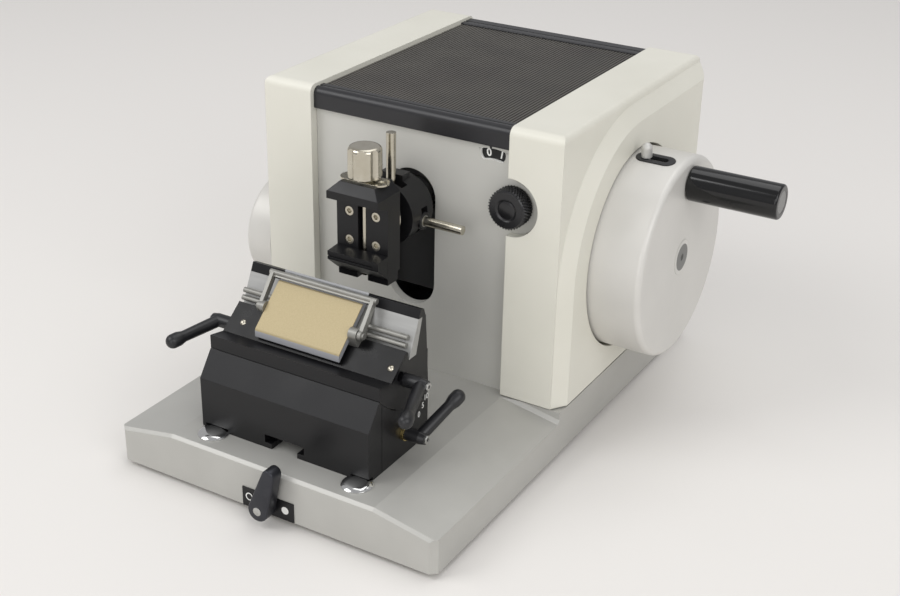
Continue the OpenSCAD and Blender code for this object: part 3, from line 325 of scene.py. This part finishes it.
# Plated over blasted steel: grey, with broad highlights.
satin_nickel = surface("satin nickel", "#94938e", "#a09f9a", patch_mm=8, roughness=0.5,
                       gloss_shift=0.04, relief_mm=0.3, relief_depth_mm=0.003, edge_mm=0.3,
                       metallic=0.85)
dress(satin_nickel, "finger_guard", "blade_carriage", "shift_rods")

# %% [markdown]
# ## Bare steel
#
# Guides, shafts and the plate behind the blade are ground steel. Grinding leaves a grain along
# the machine's width. An anisotropic shader could show it, but it needs a tangent on every face;
# squeezing the texture's coordinates along X is simpler and draws each speck out into a stroke.
# Smaller parts are blasted or turned and have no direction.

# %% Steel finishes
ALONG_WIDTH = (0.08, 1, 1)

# Surface ground: bright, with long fine strokes.
ground_steel = surface("ground steel", "#b5b5b1", "#c4c4c0", patch_mm=6, roughness=0.3,
                       gloss_shift=0.05, relief_mm=0.3, relief_depth_mm=0.003, edge_mm=0.25,
                       metallic=1.0, stretch=ALONG_WIDTH)
dress(ground_steel, "holder_guide", "slide_rails", "shaft_bearings", "drive_shaft", "crank_disc",
      "handle_axle", "coarse_shaft", "feed_quill", "setting_pinion", "clamp_ball")

# Brushed with a coarse belt: duller than the ground parts.
back_steel = surface("brushed back plate", "#a9a9a7", "#b6b6b4", patch_mm=6, roughness=0.46,
                     gloss_shift=0.04, relief_mm=0.3, relief_depth_mm=0.003, edge_mm=0.25,
                     metallic=0.8, stretch=ALONG_WIDTH)
dress(back_steel, "back_plate")

# Bead blasted: pale, and almost without a mirror.
pin_steel = surface("bead blasted pin steel", "#c3c2be", "#cfcecb", patch_mm=6, roughness=0.45,
                    gloss_shift=0.04, relief_mm=0.3, relief_depth_mm=0.003, metallic=0.4)
dress(pin_steel, "lock_pin")

# Turned and left dull: a middle grey.
cap_steel = surface("dull grey cap steel", "#7b7b79", "#858583", patch_mm=6, roughness=0.45,
                    gloss_shift=0.04, relief_mm=0.3, relief_depth_mm=0.003, edge_mm=0.2,
                    metallic=0.5)
dress(cap_steel, "hub_cap")

# Honed razor steel: an even grey, and sharp to the very edge.
blade_steel = surface("honed blade steel", "#8d8e90", "#9a9b9d", patch_mm=4, roughness=0.5,
                      gloss_shift=0.03, relief_mm=0.2, relief_depth_mm=0.001, edge_mm=0.05,
                      metallic=0.8)
dress(blade_steel, "blade")

# %% [markdown]
# ## Plastic and rubber
#
# The handle is turned phenolic resin with a deep gloss. Levers and knob are moulded nylon, a
# shade duller. The trim bars are extruded plastic, and the mat on top is a ribbed rubber sheet
# that has picked up a little dust. The dial and the shield behind the slot are lacquered matt
# black, so that nothing shines inside the housing. None has any metal in it: the eye tells them
# apart by tone and gloss alone, so those are what the calls below change.

# %% Plastics and rubbers
# Turned and buffed resin: deep black with a clear, narrow highlight.
phenolic = surface("black phenolic resin", "#060607", "#09090a", patch_mm=40, roughness=0.12,
                   gloss_shift=0.02, relief_mm=2.0, relief_depth_mm=0.004, edge_mm=0.6)
dress(phenolic, "handle_grip")

# Moulded in a fine spark-eroded tool: black with a soft highlight.
moulded_nylon = surface("black moulded nylon", "#151517", "#1b1b1e", patch_mm=20, roughness=0.38,
                        gloss_shift=0.04, relief_mm=0.5, relief_depth_mm=0.01, edge_mm=0.4)
dress(moulded_nylon, "blade_lever", "shift_lever", "tilt_lever", "setting_knob")

# Extruded: smooth, a little greyer.
trim_plastic = surface("black extruded trim", "#1d1d20", "#242427", patch_mm=60, roughness=0.36,
                       gloss_shift=0.04, relief_mm=0.8, relief_depth_mm=0.006)
dress(trim_plastic, "front_trim", "rear_trim")

# Ribbed sheet with dust in its pores: warm grey and matt.
mat_rubber = surface("ribbed grey rubber", "#4a4743", "#56534e", patch_mm=35, roughness=0.55,
                     gloss_shift=0.06, relief_mm=0.6, relief_depth_mm=0.02, edge_mm=0.3)
dress(mat_rubber, "top_mat")

# Moulded rubber: black, with no highlight to speak of.
foot_rubber = surface("black rubber", "#131313", "#1a1a1a", patch_mm=10, roughness=0.75,
                      gloss_shift=0.04, relief_mm=0.8, relief_depth_mm=0.03, edge_mm=0.4)
dress(foot_rubber, "rubber_feet")

# Sprayed lacquer: matt black.
dial_black = surface("matt black dial lacquer", "#0c0c0d", "#111113", patch_mm=20, roughness=0.5,
                     gloss_shift=0.04, relief_mm=0.5, relief_depth_mm=0.004, edge_mm=0.2)
dress(dial_black, "setting_dial", "slot_shield")

# %% [markdown]
# ## Places and shapes
#
# The solids carry the main shapes. What is added here is small: the printed numbers, the end
# screws, the knurled knob. Heights and depths are measured in millimetres with y counted from the
# base's front edge, as on a drawing. Most pieces were turned on a lathe, so one helper spins a
# half section about its axis. Another pushes an outline along the machine's width, as an
# extrusion is made.

# %% Place and shape helpers
TO_OPERATOR, TO_RIGHT, UP = (0, -1, 0), (1, 0, 0), (0, 0, 1)
QUARTER_TURN = math.radians(90)
WELD_DISTANCE = 1e-7                # metres, enough to merge the points on a spun shape's axis


def spot(x, y, z):
    """A place in metres, given in millimetres with y counted from the base's front edge."""
    return Vector((x, y - BASE_DEPTH / 2, z)) * MM


def facing(x, y, z, way, turn=0):
    """A matrix that stands a piece at a place, with its own Z along way."""
    lean = Vector(way).to_track_quat("Z", "Y").to_matrix().to_4x4()
    return Matrix.Translation(spot(x, y, z)) @ lean @ Matrix.Rotation(math.radians(turn), 4, "Z")


def turned(profile, steps=48):
    """A solid turned about Z from pairs of radius and height in millimetres."""
    made = bmesh.new()
    chain = [made.verts.new((radius * MM, 0, height * MM)) for radius, height in profile]
    edges = [made.edges.new(pair) for pair in zip(chain, chain[1:])]
    bmesh.ops.spin(made, geom=chain + edges, cent=(0, 0, 0), axis=UP, angle=2 * math.pi,
                   steps=steps, use_merge=True)
    bmesh.ops.remove_doubles(made, verts=made.verts, dist=WELD_DISTANCE)
    return made


def push(made, corners, way):
    """Closes an outline with a face and pushes it along way into a bar."""
    face = made.faces.new([made.verts.new(corner) for corner in corners])
    grown = bmesh.ops.extrude_face_region(made, geom=[face])["geom"]
    far_end = [item for item in grown if isinstance(item, bmesh.types.BMVert)]
    bmesh.ops.translate(made, verts=far_end, vec=way)


def extruded(outline, left, right, made=None):
    """A bar along X whose section is a list of (y, z) in millimetres from the base's front."""
    made = made or bmesh.new()
    push(made, [spot(left, y, z) for y, z in outline], ((right - left) * MM, 0, 0))
    return made


print("the middle of the base is at", tuple(spot(0, BASE_DEPTH / 2, 0)))

# %% [markdown]
# ## Finished pieces
#
# A shape becomes a piece when it has a place, a name, a finish and a body to ride on. Its normals
# are recalculated, because spinning can turn a shape inside out, and faces that meet at a low
# angle are shaded smooth. Printed characters start as text, which becomes a mesh before it is put
# in place.

# %% Piece helpers
SHARP_ANGLE = math.radians(35)
INK_DEPTH_MM = 0.02


def join(whole, part):
    """Adds one shape to another and frees it."""
    mesh = bpy.data.meshes.new("part")
    part.to_mesh(mesh)
    part.free()
    whole.from_mesh(mesh)
    bpy.data.meshes.remove(mesh)


def keep(name, made, body, material, place=None, stands_for=()):
    """Turns a bmesh into a finished piece that rides on a body."""
    if place is not None:
        made.transform(place)
    bmesh.ops.recalc_face_normals(made, faces=made.faces)
    mesh = bpy.data.meshes.new(name)
    made.to_mesh(mesh)
    made.free()
    mesh.polygons.foreach_set("use_smooth", [True] * len(mesh.polygons))
    mesh.set_sharp_from_angle(angle=SHARP_ANGLE)
    mesh.materials.append(material)
    finished = in_scene(name, mesh)
    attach(finished, body)
    if stands_for:
        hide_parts(*stands_for)
    print(name, len(mesh.polygons), "faces, rides on", body)
    return finished


def letters(text, size_mm, weight_mm):
    """The shape of a short text, lying in its own XY plane."""
    curve = bpy.data.curves.new("text", "FONT")
    curve.body = text
    curve.align_x = "CENTER"
    curve.align_y = "CENTER"
    curve.size = size_mm * MM
    curve.extrude = INK_DEPTH_MM * MM
    curve.offset = weight_mm * MM
    holder = in_scene("text", curve)
    depsgraph = bpy.context.evaluated_depsgraph_get()
    mesh = bpy.data.meshes.new_from_object(holder.evaluated_get(depsgraph))
    bpy.data.objects.remove(holder)
    bpy.data.curves.remove(curve)
    made = bmesh.new()
    made.from_mesh(mesh)
    bpy.data.meshes.remove(mesh)
    return made


print("edges are sharp from", round(math.degrees(SHARP_ANGLE)), "degrees")

# %% [markdown]
# ## The setting knob
#
# The operator sets the section thickness with this knob, often with wet gloves, so its rim has a
# diamond knurl. On a lathe two slanted rollers press such a knurl into the rim. Cutting every
# groove with a boolean would be slow and leave slivers. Here the rim is a grid of points, and
# every second point is pulled outwards, which leaves the same lozenges. The face is dished, so
# that a fingertip finds its middle.

# %% Setting knob
# Nylon again, buffed on its raised points, so each lozenge catches the light.
knurled_nylon = surface("knurled black nylon", "#151517", "#1b1b1d", patch_mm=20, roughness=0.26,
                        gloss_shift=0.04, relief_mm=0.5, relief_depth_mm=0.004, edge_mm=0.05)
KNOB_SPOT = (96.5, 203.7, 210)
KNOB_RIM_RADIUS, RIM_MARGIN = 16.4, 0.1
KNOB_BACK = [(0, 0), (15.6, 0), (16.2, 0.9)]
KNOB_FACE = [(15.5, 13.6), (14.9, 14.7), (9.4, 15.0), (8.6, 14.4), (7.6, 14.1), (6.6, 14.5),
             (0, 14.6)]
KNURL_STEPS = 80
KNURL_START = 1.8
KNURL_PITCH = 1.4
KNURL_ROW_COUNT = 9
PEAK, VALLEY = 1.05, 0.93

rim = [(KNOB_RIM_RADIUS, KNURL_START + KNURL_PITCH * row) for row in range(KNURL_ROW_COUNT)]
knob_shape = turned(KNOB_BACK + rim + KNOB_FACE, KNURL_STEPS)
for vert in knob_shape.verts:
    row = round((vert.co.z / MM - KNURL_START) / KNURL_PITCH)
    on_rim = math.hypot(vert.co.x, vert.co.y) > (KNOB_RIM_RADIUS - RIM_MARGIN) * MM
    if on_rim and 0 <= row < KNURL_ROW_COUNT:
        step = round(math.atan2(vert.co.y, vert.co.x) / (2 * math.pi) * KNURL_STEPS)
        stands_out = row % 2 == 0 and (step + row // 2) % 2 == 0
        grow = PEAK if stands_out else VALLEY
        vert.co.x *= grow
        vert.co.y *= grow
keep("setting_knob_knurled", knob_shape, "knob", knurled_nylon, facing(*KNOB_SPOT, TO_OPERATOR),
     ["setting_knob"])

# %% [markdown]
# ## Dial numbers and index
#
# Behind the front plate an internally toothed dial turns three times slower than the knob. Its
# numbers are screen printed in white and show in a curved window; a small black mark on the plate
# points at the one that is set. Each number is set at the top of the dial and then turned to its
# place.

# %% Dial numbers
# Screen ink: flat and matt, in a layer too thin to have edges. The white one also paints a
# highlight on the window's edge.
white_ink_and_edge_highlight = surface("white printing ink and painted edge highlight", "#e6e6e2", "#efefec", patch_mm=8, roughness=0.5,
                    gloss_shift=0.03, relief_mm=0.5, relief_depth_mm=0.001, edge_mm=0.02)
black_ink = surface("black printing ink", "#101011", "#161617", patch_mm=8, roughness=0.5,
                    gloss_shift=0.03, relief_mm=0.5, relief_depth_mm=0.001, edge_mm=0.02)
DIAL_X, DIAL_Z = 75.5, 210
PRINT_Y = 206.65
NUMBER_RADIUS = 38
NUMBERS = 21
NUMBER_STEP = 360 / NUMBERS
FIRST_NUMBER_AT = 7.5               # degrees left of the top
ONE_DIGIT_MM, TWO_DIGITS_MM = 8.8, 6.4
NUMBER_WEIGHT_MM = 0.22
INDEX_SPOT = (73.3, 203.95, 253.2)
INDEX_RADIUS_MM, INDEX_DEPTH_MM = 1.7, 0.1
INDEX_TURN = 180                    # so that its point is at the bottom

upright = (Matrix.Translation(spot(DIAL_X, PRINT_Y, DIAL_Z))
           @ Matrix.Rotation(QUARTER_TURN, 4, "X"))
numbers = bmesh.new()
for number in range(NUMBERS):
    glyph = letters(str(number), ONE_DIGIT_MM if number < 10 else TWO_DIGITS_MM, NUMBER_WEIGHT_MM)
    turn = Matrix.Rotation(math.radians(FIRST_NUMBER_AT - NUMBER_STEP * number), 4, "Z")
    glyph.transform(upright @ turn @ Matrix.Translation((0, NUMBER_RADIUS * MM, 0)))
    join(numbers, glyph)
keep("dial_numbers", numbers, "dial", white_ink_and_edge_highlight)

index = bmesh.new()
bmesh.ops.create_cone(index, cap_ends=True, segments=3, radius1=INDEX_RADIUS_MM * MM,
                      radius2=INDEX_RADIUS_MM * MM, depth=INDEX_DEPTH_MM * MM)
keep("dial_index", index, "stand", black_ink, facing(*INDEX_SPOT, TO_OPERATOR, INDEX_TURN))

# %% [markdown]
# ## The window's edge
#
# The curved window is punched through the front plate. Its edge is pressed in a little and ends
# in a pale cut face. The slope and the cut face are drawn in white. This is partly that pale face
# and partly a painted highlight for the light that the edge catches, and it sets the dark dial off
# against the plate. The edge is four outlines of the window, each a little smaller or deeper than
# the last, and a bridge of faces joins each pair.

# %% Window edge
WINDOW_TURN = 13.4                  # degrees that the window reaches to each side of the top
END_ROUNDNESS = 0.5                 # 1 would make each end a half circle
SIDE_STEPS, END_STEPS = 16, 8
WINDOW_SECTION = [(6.2, 204.04), (4.9, 203.98), (4.4, 204.6), (4.4, 206.4)]    # half width, y
FLAT_FACE = 0.95                    # faces that look at the operator this squarely are painted


def window_outline(half, y):
    """The corners of a curved slot over the numbers, with rounded ends."""
    loop = []
    for side in (1, -1):
        for step in range(SIDE_STEPS + 1):
            angle = math.radians(90 + side * WINDOW_TURN * (1 - step / (SIDE_STEPS / 2)))
            radius = NUMBER_RADIUS + side * half
            loop.append((radius * math.cos(angle), radius * math.sin(angle)))
        end = math.radians(90 - side * WINDOW_TURN)
        for step in range(1, END_STEPS):
            sweep = math.pi * step / END_STEPS
            radius = NUMBER_RADIUS + side * half * math.cos(sweep)
            out = side * END_ROUNDNESS * half * math.sin(sweep)
            loop.append((radius * math.cos(end) + out * math.sin(end),
                         radius * math.sin(end) - out * math.cos(end)))
    return [spot(DIAL_X + x, y, DIAL_Z + z) for x, z in loop]


window = bmesh.new()
rings = []
for half, y in WINDOW_SECTION:
    corners = [window.verts.new(corner) for corner in window_outline(half, y)]
    rings.append([window.edges.new(pair) for pair in zip(corners, corners[1:] + corners[:1])])
for outer, inner in zip(rings, rings[1:]):
    bmesh.ops.bridge_loops(window, edges=outer + inner)
edge_piece = keep("window_edge", window, "stand", plate_lacquer)
# The slope and the cut face take the white: partly a pale cut face, partly a painted highlight
# along the edge.
edge_piece.data.materials.append(white_ink_and_edge_highlight)
for face in edge_piece.data.polygons:
    face.material_index = 0 if abs(face.normal.y) > FLAT_FACE else 1

# %% [markdown]
# ## Levers and their screws
#
# Clamping levers are moulded nylon round a steel insert. The arm is thickest at the hub, thins
# towards the hand and ends in a round bulge, so that it can be found without looking. Each is
# held by a hexagon socket screw, whose bright head closes the hub. All three are the same lever,
# so one section is turned once for each and put in place with its own angle.

# %% Clamping levers
# Turned stainless steel: bright and neutral in colour.
stainless = surface("stainless steel", "#b9b9b6", "#c4c4c1", patch_mm=5, roughness=0.3,
                    gloss_shift=0.04, relief_mm=0.3, relief_depth_mm=0.002, edge_mm=0.15,
                    metallic=1.0)
HUB_LENGTH = 15
ARM_START = HUB_LENGTH - 1
SCREW_SEAT = HUB_LENGTH + 4.6
LEVER_SWEEP = math.radians(17)
# For each lever: the side it sticks out to, the x, y and z of its hub, and the turn of its arm.
LEVERS = {"blade_lever": (-1, 84.2, 69.5, 111.5, 96), "shift_lever": (1, 75.4, 76, 106, 100),
          "tilt_lever": (1, 75.4, 75, 60, -58)}
BULGE_RADIUS, BULGE_MIDDLE = 5.9, 44.1
BULGE = [(BULGE_RADIUS * math.sin(math.radians(angle)),
          BULGE_MIDDLE + BULGE_RADIUS * math.cos(math.radians(angle)))
         for angle in range(90, -1, -10)]
ARM_SECTION = [(0, 0), (5.0, 0), (4.6, 34), (5.2, 36.5), (5.9, 39)] + BULGE
ARM_SIDES = 32
SCREW_SECTION = [(0, 0), (3.5, 0), (3.5, 1.7), (3.1, 2.1), (1.7, 2.1), (1.6, 0.8), (0, 0.6)]
SCREW_SIDES = 6                     # a hexagon

for name, (side, x, y, z, turn) in LEVERS.items():
    mirror = Matrix.Scale(side, 4, TO_RIGHT)
    hub = (mirror @ Matrix.Translation(spot(x, y, z))
           @ Matrix.Rotation(math.radians(turn), 4, "X"))
    arm = (hub @ Matrix.Translation((ARM_START * MM, 0, 0))
           @ Matrix.Rotation(LEVER_SWEEP, 4, "Y"))
    keep(name + "_arm", turned(ARM_SECTION, ARM_SIDES), name, moulded_nylon, arm)
    head = (hub @ Matrix.Translation((SCREW_SEAT * MM, 0, 0))
            @ Matrix.Rotation(QUARTER_TURN, 4, "Y"))
    keep(name + "_screw", turned(SCREW_SECTION, SCREW_SIDES), name, stainless, head)

# Turned and polished brass: a thin yellow line between the lever and the holder.
brass = surface("polished brass", "#d0b877", "#dcc688", patch_mm=5, roughness=0.25,
                gloss_shift=0.04, relief_mm=0.3, relief_depth_mm=0.002, edge_mm=0.1,
                metallic=1.0)
WASHER_SPOT = (75.8, 75, 60)
washer = turned([(5.6, 0), (6.4, 0), (6.4, 2.6), (5.6, 2.6), (5.6, 0)])
keep("tilt_washer", washer, "tilt_lever", brass, facing(*WASHER_SPOT, TO_RIGHT))

# %% [markdown]
# ## Side of the holder
#
# The tilting part of the holder rests in a round seat milled into the base, so from the side only
# a thin arc shows between them. Below that arc the side is closed by a flat black plate. Its
# outline follows the seat's circle at the top, and its thickness comes from pushing that outline.

# %% Holder side plate
SEAT_Y, SEAT_Z, SEAT_RADIUS = 95, 150, 72.3
PLATE_FRONT, PLATE_REAR, PLATE_FOOT = 44, 109.6, 41.2
PLATE_LEFT, PLATE_RIGHT = 75.38, 75.62
ARC_STEPS = 24

arc = []
for step in range(ARC_STEPS + 1):
    y = PLATE_FRONT + (PLATE_REAR - PLATE_FRONT) * step / ARC_STEPS
    arc.append((y, SEAT_Z - math.sqrt(SEAT_RADIUS ** 2 - (y - SEAT_Y) ** 2)))
side_outline = [(PLATE_FRONT, PLATE_FOOT), (PLATE_REAR, PLATE_FOOT)] + arc[::-1]
keep("holder_side_plate", extruded(side_outline, PLATE_LEFT, PLATE_RIGHT), "holder",
     black_anodised)

# %% [markdown]
# ## Seat pads
#
# At the front the holder stands on two polished domes, which slide on the lacquered base without
# scratching it. A dome is a turned shape, so its section is spun and set down twice.

# %% Seat pads
# Chrome over polished steel: the clearest mirror on the machine.
polished_chrome = surface("polished chrome", "#cfcfce", "#dadad9", patch_mm=8, roughness=0.1,
                          gloss_shift=0.02, relief_mm=0.6, relief_depth_mm=0.002, edge_mm=0.2,
                          metallic=1.0)
DOME_SECTION = [(0, 0.05), (12.5, 0.05), (12.6, 0.8), (11.6, 1.9), (9.6, 2.8), (6.5, 3.4),
                (0, 3.55)]
PAD_LEFT, PAD_RIGHT = -69, 68.4
PAD_Y, PAD_Z = 20.6, 39.5

pads = bmesh.new()
for x in (PAD_LEFT, PAD_RIGHT):
    dome = turned(DOME_SECTION)
    dome.transform(facing(x, PAD_Y, PAD_Z, UP))
    join(pads, dome)
keep("seat_domes", pads, "holder", polished_chrome, stands_for=["seat_pads"])

# %% [markdown]
# ## Marks
#
# White numbers beside the tilting part let the operator come back to the same knife angle. The
# front lever has an open ring for released and a filled dot for clamped, which read without words.
# All are ink, so they are raised by only a few hundredths of a millimetre.

# %% Scale numbers and lever marks
SCALE_X = 75.66
SCALE_NUMBERS = [("10", 107.0, 76.0), ("5", 102.2, 70.4), ("0", 96.6, 64.8)]
SCALE_MM, SCALE_WEIGHT_MM = 7.0, 0.1
RELEASED_SPOT = (-18.4, -0.82, 9.7)
CLAMPED_SPOT = (15.9, -0.82, 9.1)

scale = bmesh.new()
for text, y, z in SCALE_NUMBERS:
    glyph = letters(text, SCALE_MM, SCALE_WEIGHT_MM)
    glyph.transform(Matrix.Translation(spot(SCALE_X, y, z)) @ Matrix.Rotation(QUARTER_TURN, 4, "Z")
                    @ Matrix.Rotation(QUARTER_TURN, 4, "X"))
    join(scale, glyph)
keep("tilt_numbers", scale, "holder", white_ink_and_edge_highlight)

ring = turned([(2.5, 0), (3.5, 0), (3.5, 0.06), (2.5, 0.06), (2.5, 0)])
keep("released_mark", ring, "stand", white_ink_and_edge_highlight, facing(*RELEASED_SPOT, TO_OPERATOR))
dot = turned([(0, 0), (3.3, 0), (3.3, 0.06), (0, 0.06)])
keep("clamped_mark", dot, "stand", white_ink_and_edge_highlight, facing(*CLAMPED_SPOT, TO_OPERATOR))

# %% [markdown]
# ## The front lever
#
# A quarter turn of this lever draws the holder down on the base. It is a flat drop shape, sawn
# from bar and rounded over, wide round its pivot and narrower at the hand, and the steel end of
# its pivot shows as a bright disc. The drop is two arcs joined by their common tangents. It is
# pushed to its thickness, and a bevel along both rims rounds it over.

# %% Front lever
LEVER_X, LEVER_Z = 0, 10.5
LEVER_FACE_Y, LEVER_BOSS_Y = -15.1, -1
LEVER_THICKNESS = 12
LEVER_LEAN = math.radians(17.5)
WIDE, NARROW, REACH = 9, 5.5, 36
ARC_PARTS = 16
ROUND_OVER, ROUND_PARTS = 1.3, 3
RIM_TOLERANCE = 0.001
slope = math.asin((WIDE - NARROW) / REACH)

drop = []
for radius, height, start, end in ((NARROW, REACH, slope, math.pi - slope),
                                   (WIDE, 0, math.pi - slope, 2 * math.pi + slope)):
    for step in range(ARC_PARTS + 1):
        angle = start + (end - start) * step / ARC_PARTS
        drop.append((radius * math.cos(angle), height + radius * math.sin(angle)))

lever = bmesh.new()
push(lever, [(x * MM, 0, z * MM) for x, z in drop], (0, LEVER_THICKNESS * MM, 0))
rims = [edge for edge in lever.edges
        if abs(edge.verts[0].co.y - edge.verts[1].co.y) < RIM_TOLERANCE * MM]
bmesh.ops.bevel(lever, geom=rims, offset=ROUND_OVER * MM, offset_type="OFFSET",
                segments=ROUND_PARTS, profile=0.5, affect="EDGES", material=-1)
lever.transform(Matrix.Translation(spot(LEVER_X, LEVER_FACE_Y, LEVER_Z))
                @ Matrix.Rotation(LEVER_LEAN, 4, "Y"))
boss = turned([(0, -0.9), (8, -0.9), (8, 2.8), (0, 2.8)])
boss.transform(facing(LEVER_X, LEVER_BOSS_Y, LEVER_Z, TO_OPERATOR))
join(lever, boss)
keep("front_lever", lever, "base_lever", dark_steel, stands_for=["base_lever"])

disc = turned([(0, -1), (3.6, -1), (3.6, 0.2), (3.3, 0.4), (0, 0.4)])
keep("front_lever_pivot_end", disc, "base_lever", stainless,
     facing(LEVER_X, LEVER_FACE_Y, LEVER_Z, TO_OPERATOR))

# %% [markdown]
# ## Handwheel trim
#
# The handle turns freely on a steel axle, whose flanged end shows as a grey disc. In the middle of
# the wheel a small cap hides the shaft's screw; a lacquered ring round it closes its seat. Both
# are round and thin, so a spun section gives them a clean rim that a flat disc wouldn't have.

# %% Handwheel trim
# Turned steel, left as it came off the lathe: grey and satin.
satin_steel = surface("satin steel", "#8e8e8d", "#999997", patch_mm=6, roughness=0.45,
                      gloss_shift=0.04, relief_mm=0.3, relief_depth_mm=0.003, edge_mm=0.15,
                      metallic=0.6)
HANDLE_END_SPOT = (272.5, 327.169, 209.588)
HUB_SPOT = (195.4, 321.9, 144.1)

end_disc = turned([(0, 0), (12.6, 0), (12.6, 0.3), (12.2, 0.7), (0, 0.7)])
keep("handle_end", end_disc, "handwheel", satin_steel, facing(*HANDLE_END_SPOT, TO_RIGHT))
seat_ring = turned([(11.4, -0.2), (15.6, -0.2), (15.6, 0.32), (11.8, 0.32), (11.4, 0.1),
                    (11.4, -0.2)])
keep("hub_ring", seat_ring, "handwheel", wheel_lacquer, facing(*HUB_SPOT, TO_RIGHT))

# %% [markdown]
# ## Collar of the orientation pin
#
# The side pin passes through a slot in the barrel. A round collar on the pin covers the slot, so
# that section waste stays out of the clamp rings behind it, and a nickel lip closes its mouth.
# Both are rings, so each section is a closed loop that is spun about the pin's axis.

# %% Pin collar
PIN_SPOT = (0, 182, 187.5)
collar = turned([(3.9, 24.6), (7.4, 24.6), (7.4, 26.4), (7.0, 26.9), (4.6, 26.9), (4.2, 26.4),
                 (3.9, 26.4), (3.9, 24.6)])
keep("pin_collar", collar, "orient", black_anodised, facing(*PIN_SPOT, TO_RIGHT))
collar_lip = turned([(3.95, 26.3), (4.9, 26.3), (4.9, 27.1), (3.95, 27.1), (3.95, 26.3)])
keep("pin_collar_lip", collar_lip, "orient", satin_nickel, facing(*PIN_SPOT, TO_RIGHT))

# %% [markdown]
# ## The pressure plate's nose
#
# The pressure plate holds the disposable blade along its whole edge. Its nose is bent down over
# the carriage and is the part that the operator sees first. A bend in sheet metal has the same
# section all along, so it is drawn once, along and across the slanted plate, and pushed sideways.

# %% Plate nose
NOSE_SECTION = [(3, 0.02), (1.4, 0.02), (0.3, -0.25), (-0.6, -0.85), (-1.1, -1.25), (-4, -4.45),
                (-4.05, -4.85), (-3.6, -5.15), (3, -5.15)]
NOSE_LEFT, NOSE_RIGHT = -52.02, 28.02


def slanted(start, angle, along, across):
    """(y, z) of a point along and across a line that rises from start at an angle."""
    return (start[0] + along * math.cos(angle) - across * math.sin(angle),
            start[1] + along * math.sin(angle) + across * math.cos(angle))


nose = [slanted(PRESS_FRONT, PRESS_ANGLE, *point) for point in NOSE_SECTION]
keep("press_nose", extruded(nose, NOSE_LEFT, NOSE_RIGHT), "press", gold_anodised)

# %% [markdown]
# ## The finger guard's arms
#
# The finger guard swings over the blade on two flat arms, with a strip under its rod. The arms are
# stamped from sheet, so they are pushed outlines too, drawn along the line from the guard's axis to
# its rod.

# %% Finger guard arms
FINGER_AXIS = (73, 134)
FINGER_ROD = (91.2, 156.2)
FINGER_LEAN = math.atan2(FINGER_ROD[1] - FINGER_AXIS[1], FINGER_ROD[0] - FINGER_AXIS[0])
FINGER_RISE = math.hypot(FINGER_ROD[1] - FINGER_AXIS[1], FINGER_ROD[0] - FINGER_AXIS[0])
FINGER_LEFT, FINGER_RIGHT = -59, 36
ARM_WIDTH = 3
ARM_SKIN = 0.1                      # what the arm stands proud of the solid on each side
ARM_OUTLINE = [(1, -2.7), (FINGER_RISE - 1, -2.7), (FINGER_RISE + 1.6, -1.8),
               (FINGER_RISE + 1.6, 1.8), (FINGER_RISE - 1, 2.7), (1, 2.7)]
STRIP_OUTLINE = [(FINGER_RISE - 3.4, -0.9), (FINGER_RISE - 0.5, -0.9), (FINGER_RISE - 0.5, 0.9),
                 (FINGER_RISE - 3.4, 0.9)]

arm_section = [slanted(FINGER_AXIS, FINGER_LEAN, *point) for point in ARM_OUTLINE]
strip_section = [slanted(FINGER_AXIS, FINGER_LEAN, *point) for point in STRIP_OUTLINE]
arms = bmesh.new()
for side in (FINGER_LEFT, FINGER_RIGHT):
    start = side - ARM_SKIN
    extruded(arm_section, start, start + ARM_WIDTH + 2 * ARM_SKIN, arms)
extruded(strip_section, FINGER_LEFT + 1, FINGER_RIGHT + ARM_WIDTH - 1, arms)
keep("finger_arms", arms, "finger", satin_nickel)

# %% [markdown]
# ## The floor
#
# The machine stands on a pale paper sweep, level with the soles of its rubber feet. It could curve
# up behind the machine, but one flat sheet is enough from this height. Plain matt paper takes a
# soft shadow and sets off the covers.

# %% Floor
FLOOR_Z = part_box("rubber_feet")[0][2]
FLOOR_SIZE = 12
PAPER_ROUGHNESS = 0.7

sheet = bmesh.new()
bmesh.ops.create_grid(sheet, x_segments=1, y_segments=1, size=FLOOR_SIZE / 2)
bmesh.ops.translate(sheet, verts=sheet.verts, vec=(0, 0, FLOOR_Z))
floor_mesh = bpy.data.meshes.new("floor")
sheet.to_mesh(floor_mesh)
sheet.free()
floor = in_scene("floor", floor_mesh)
paper = bpy.data.materials.new("white sweep paper")
paper.use_nodes = True
paper_shader = paper.node_tree.nodes["Principled BSDF"]
paper_shader.inputs["Base Color"].default_value = colour("#e8e5e1")
paper_shader.inputs["Roughness"].default_value = PAPER_ROUGHNESS
floor_mesh.materials.append(paper)
print("floor at", round(FLOOR_Z, 4), "m")

# %% [markdown]
# ## Light
#
# A large soft lamp high on the left is the main light, a second one fills from the right, a third
# lifts the front and a fourth the top, and the world adds an even glow. A lamp's size sets how
# soft its shadow is, so each is a square area lamp more than a metre wide, aimed at the machine.

# %% Lamps and world
LAMP_AIM = Vector((0, 0, 0.1))
# For each lamp: its place in metres, its width in metres and its power in watts.
LAMPS = {"key lamp": ((-1.6, -1.6, 2.2), 1.6, 29), "fill lamp": ((2.2, -1.2, 1.6), 1.8, 23),
         "front lamp": ((0.4, -2.6, 1.0), 1.6, 14), "top lamp": ((0.2, 0.8, 2.6), 2.0, 18)}
WORLD_STRENGTH = 0.53

for name, (place, width, power) in LAMPS.items():
    lamp = bpy.data.lights.new(name, "AREA")
    lamp.shape = "RECTANGLE"
    lamp.size = width
    lamp.size_y = width
    lamp.energy = power
    aim(in_scene(name, lamp), place, LAMP_AIM - Vector(place))
    print(name, power, "W")

world = bpy.data.worlds.new("studio")
world.use_nodes = True
bpy.context.scene.world = world
glow = world.node_tree.nodes["Background"]
glow.inputs["Color"].default_value = colour("#f4f4f6")
glow.inputs["Strength"].default_value = WORLD_STRENGTH
print("world", WORLD_STRENGTH)
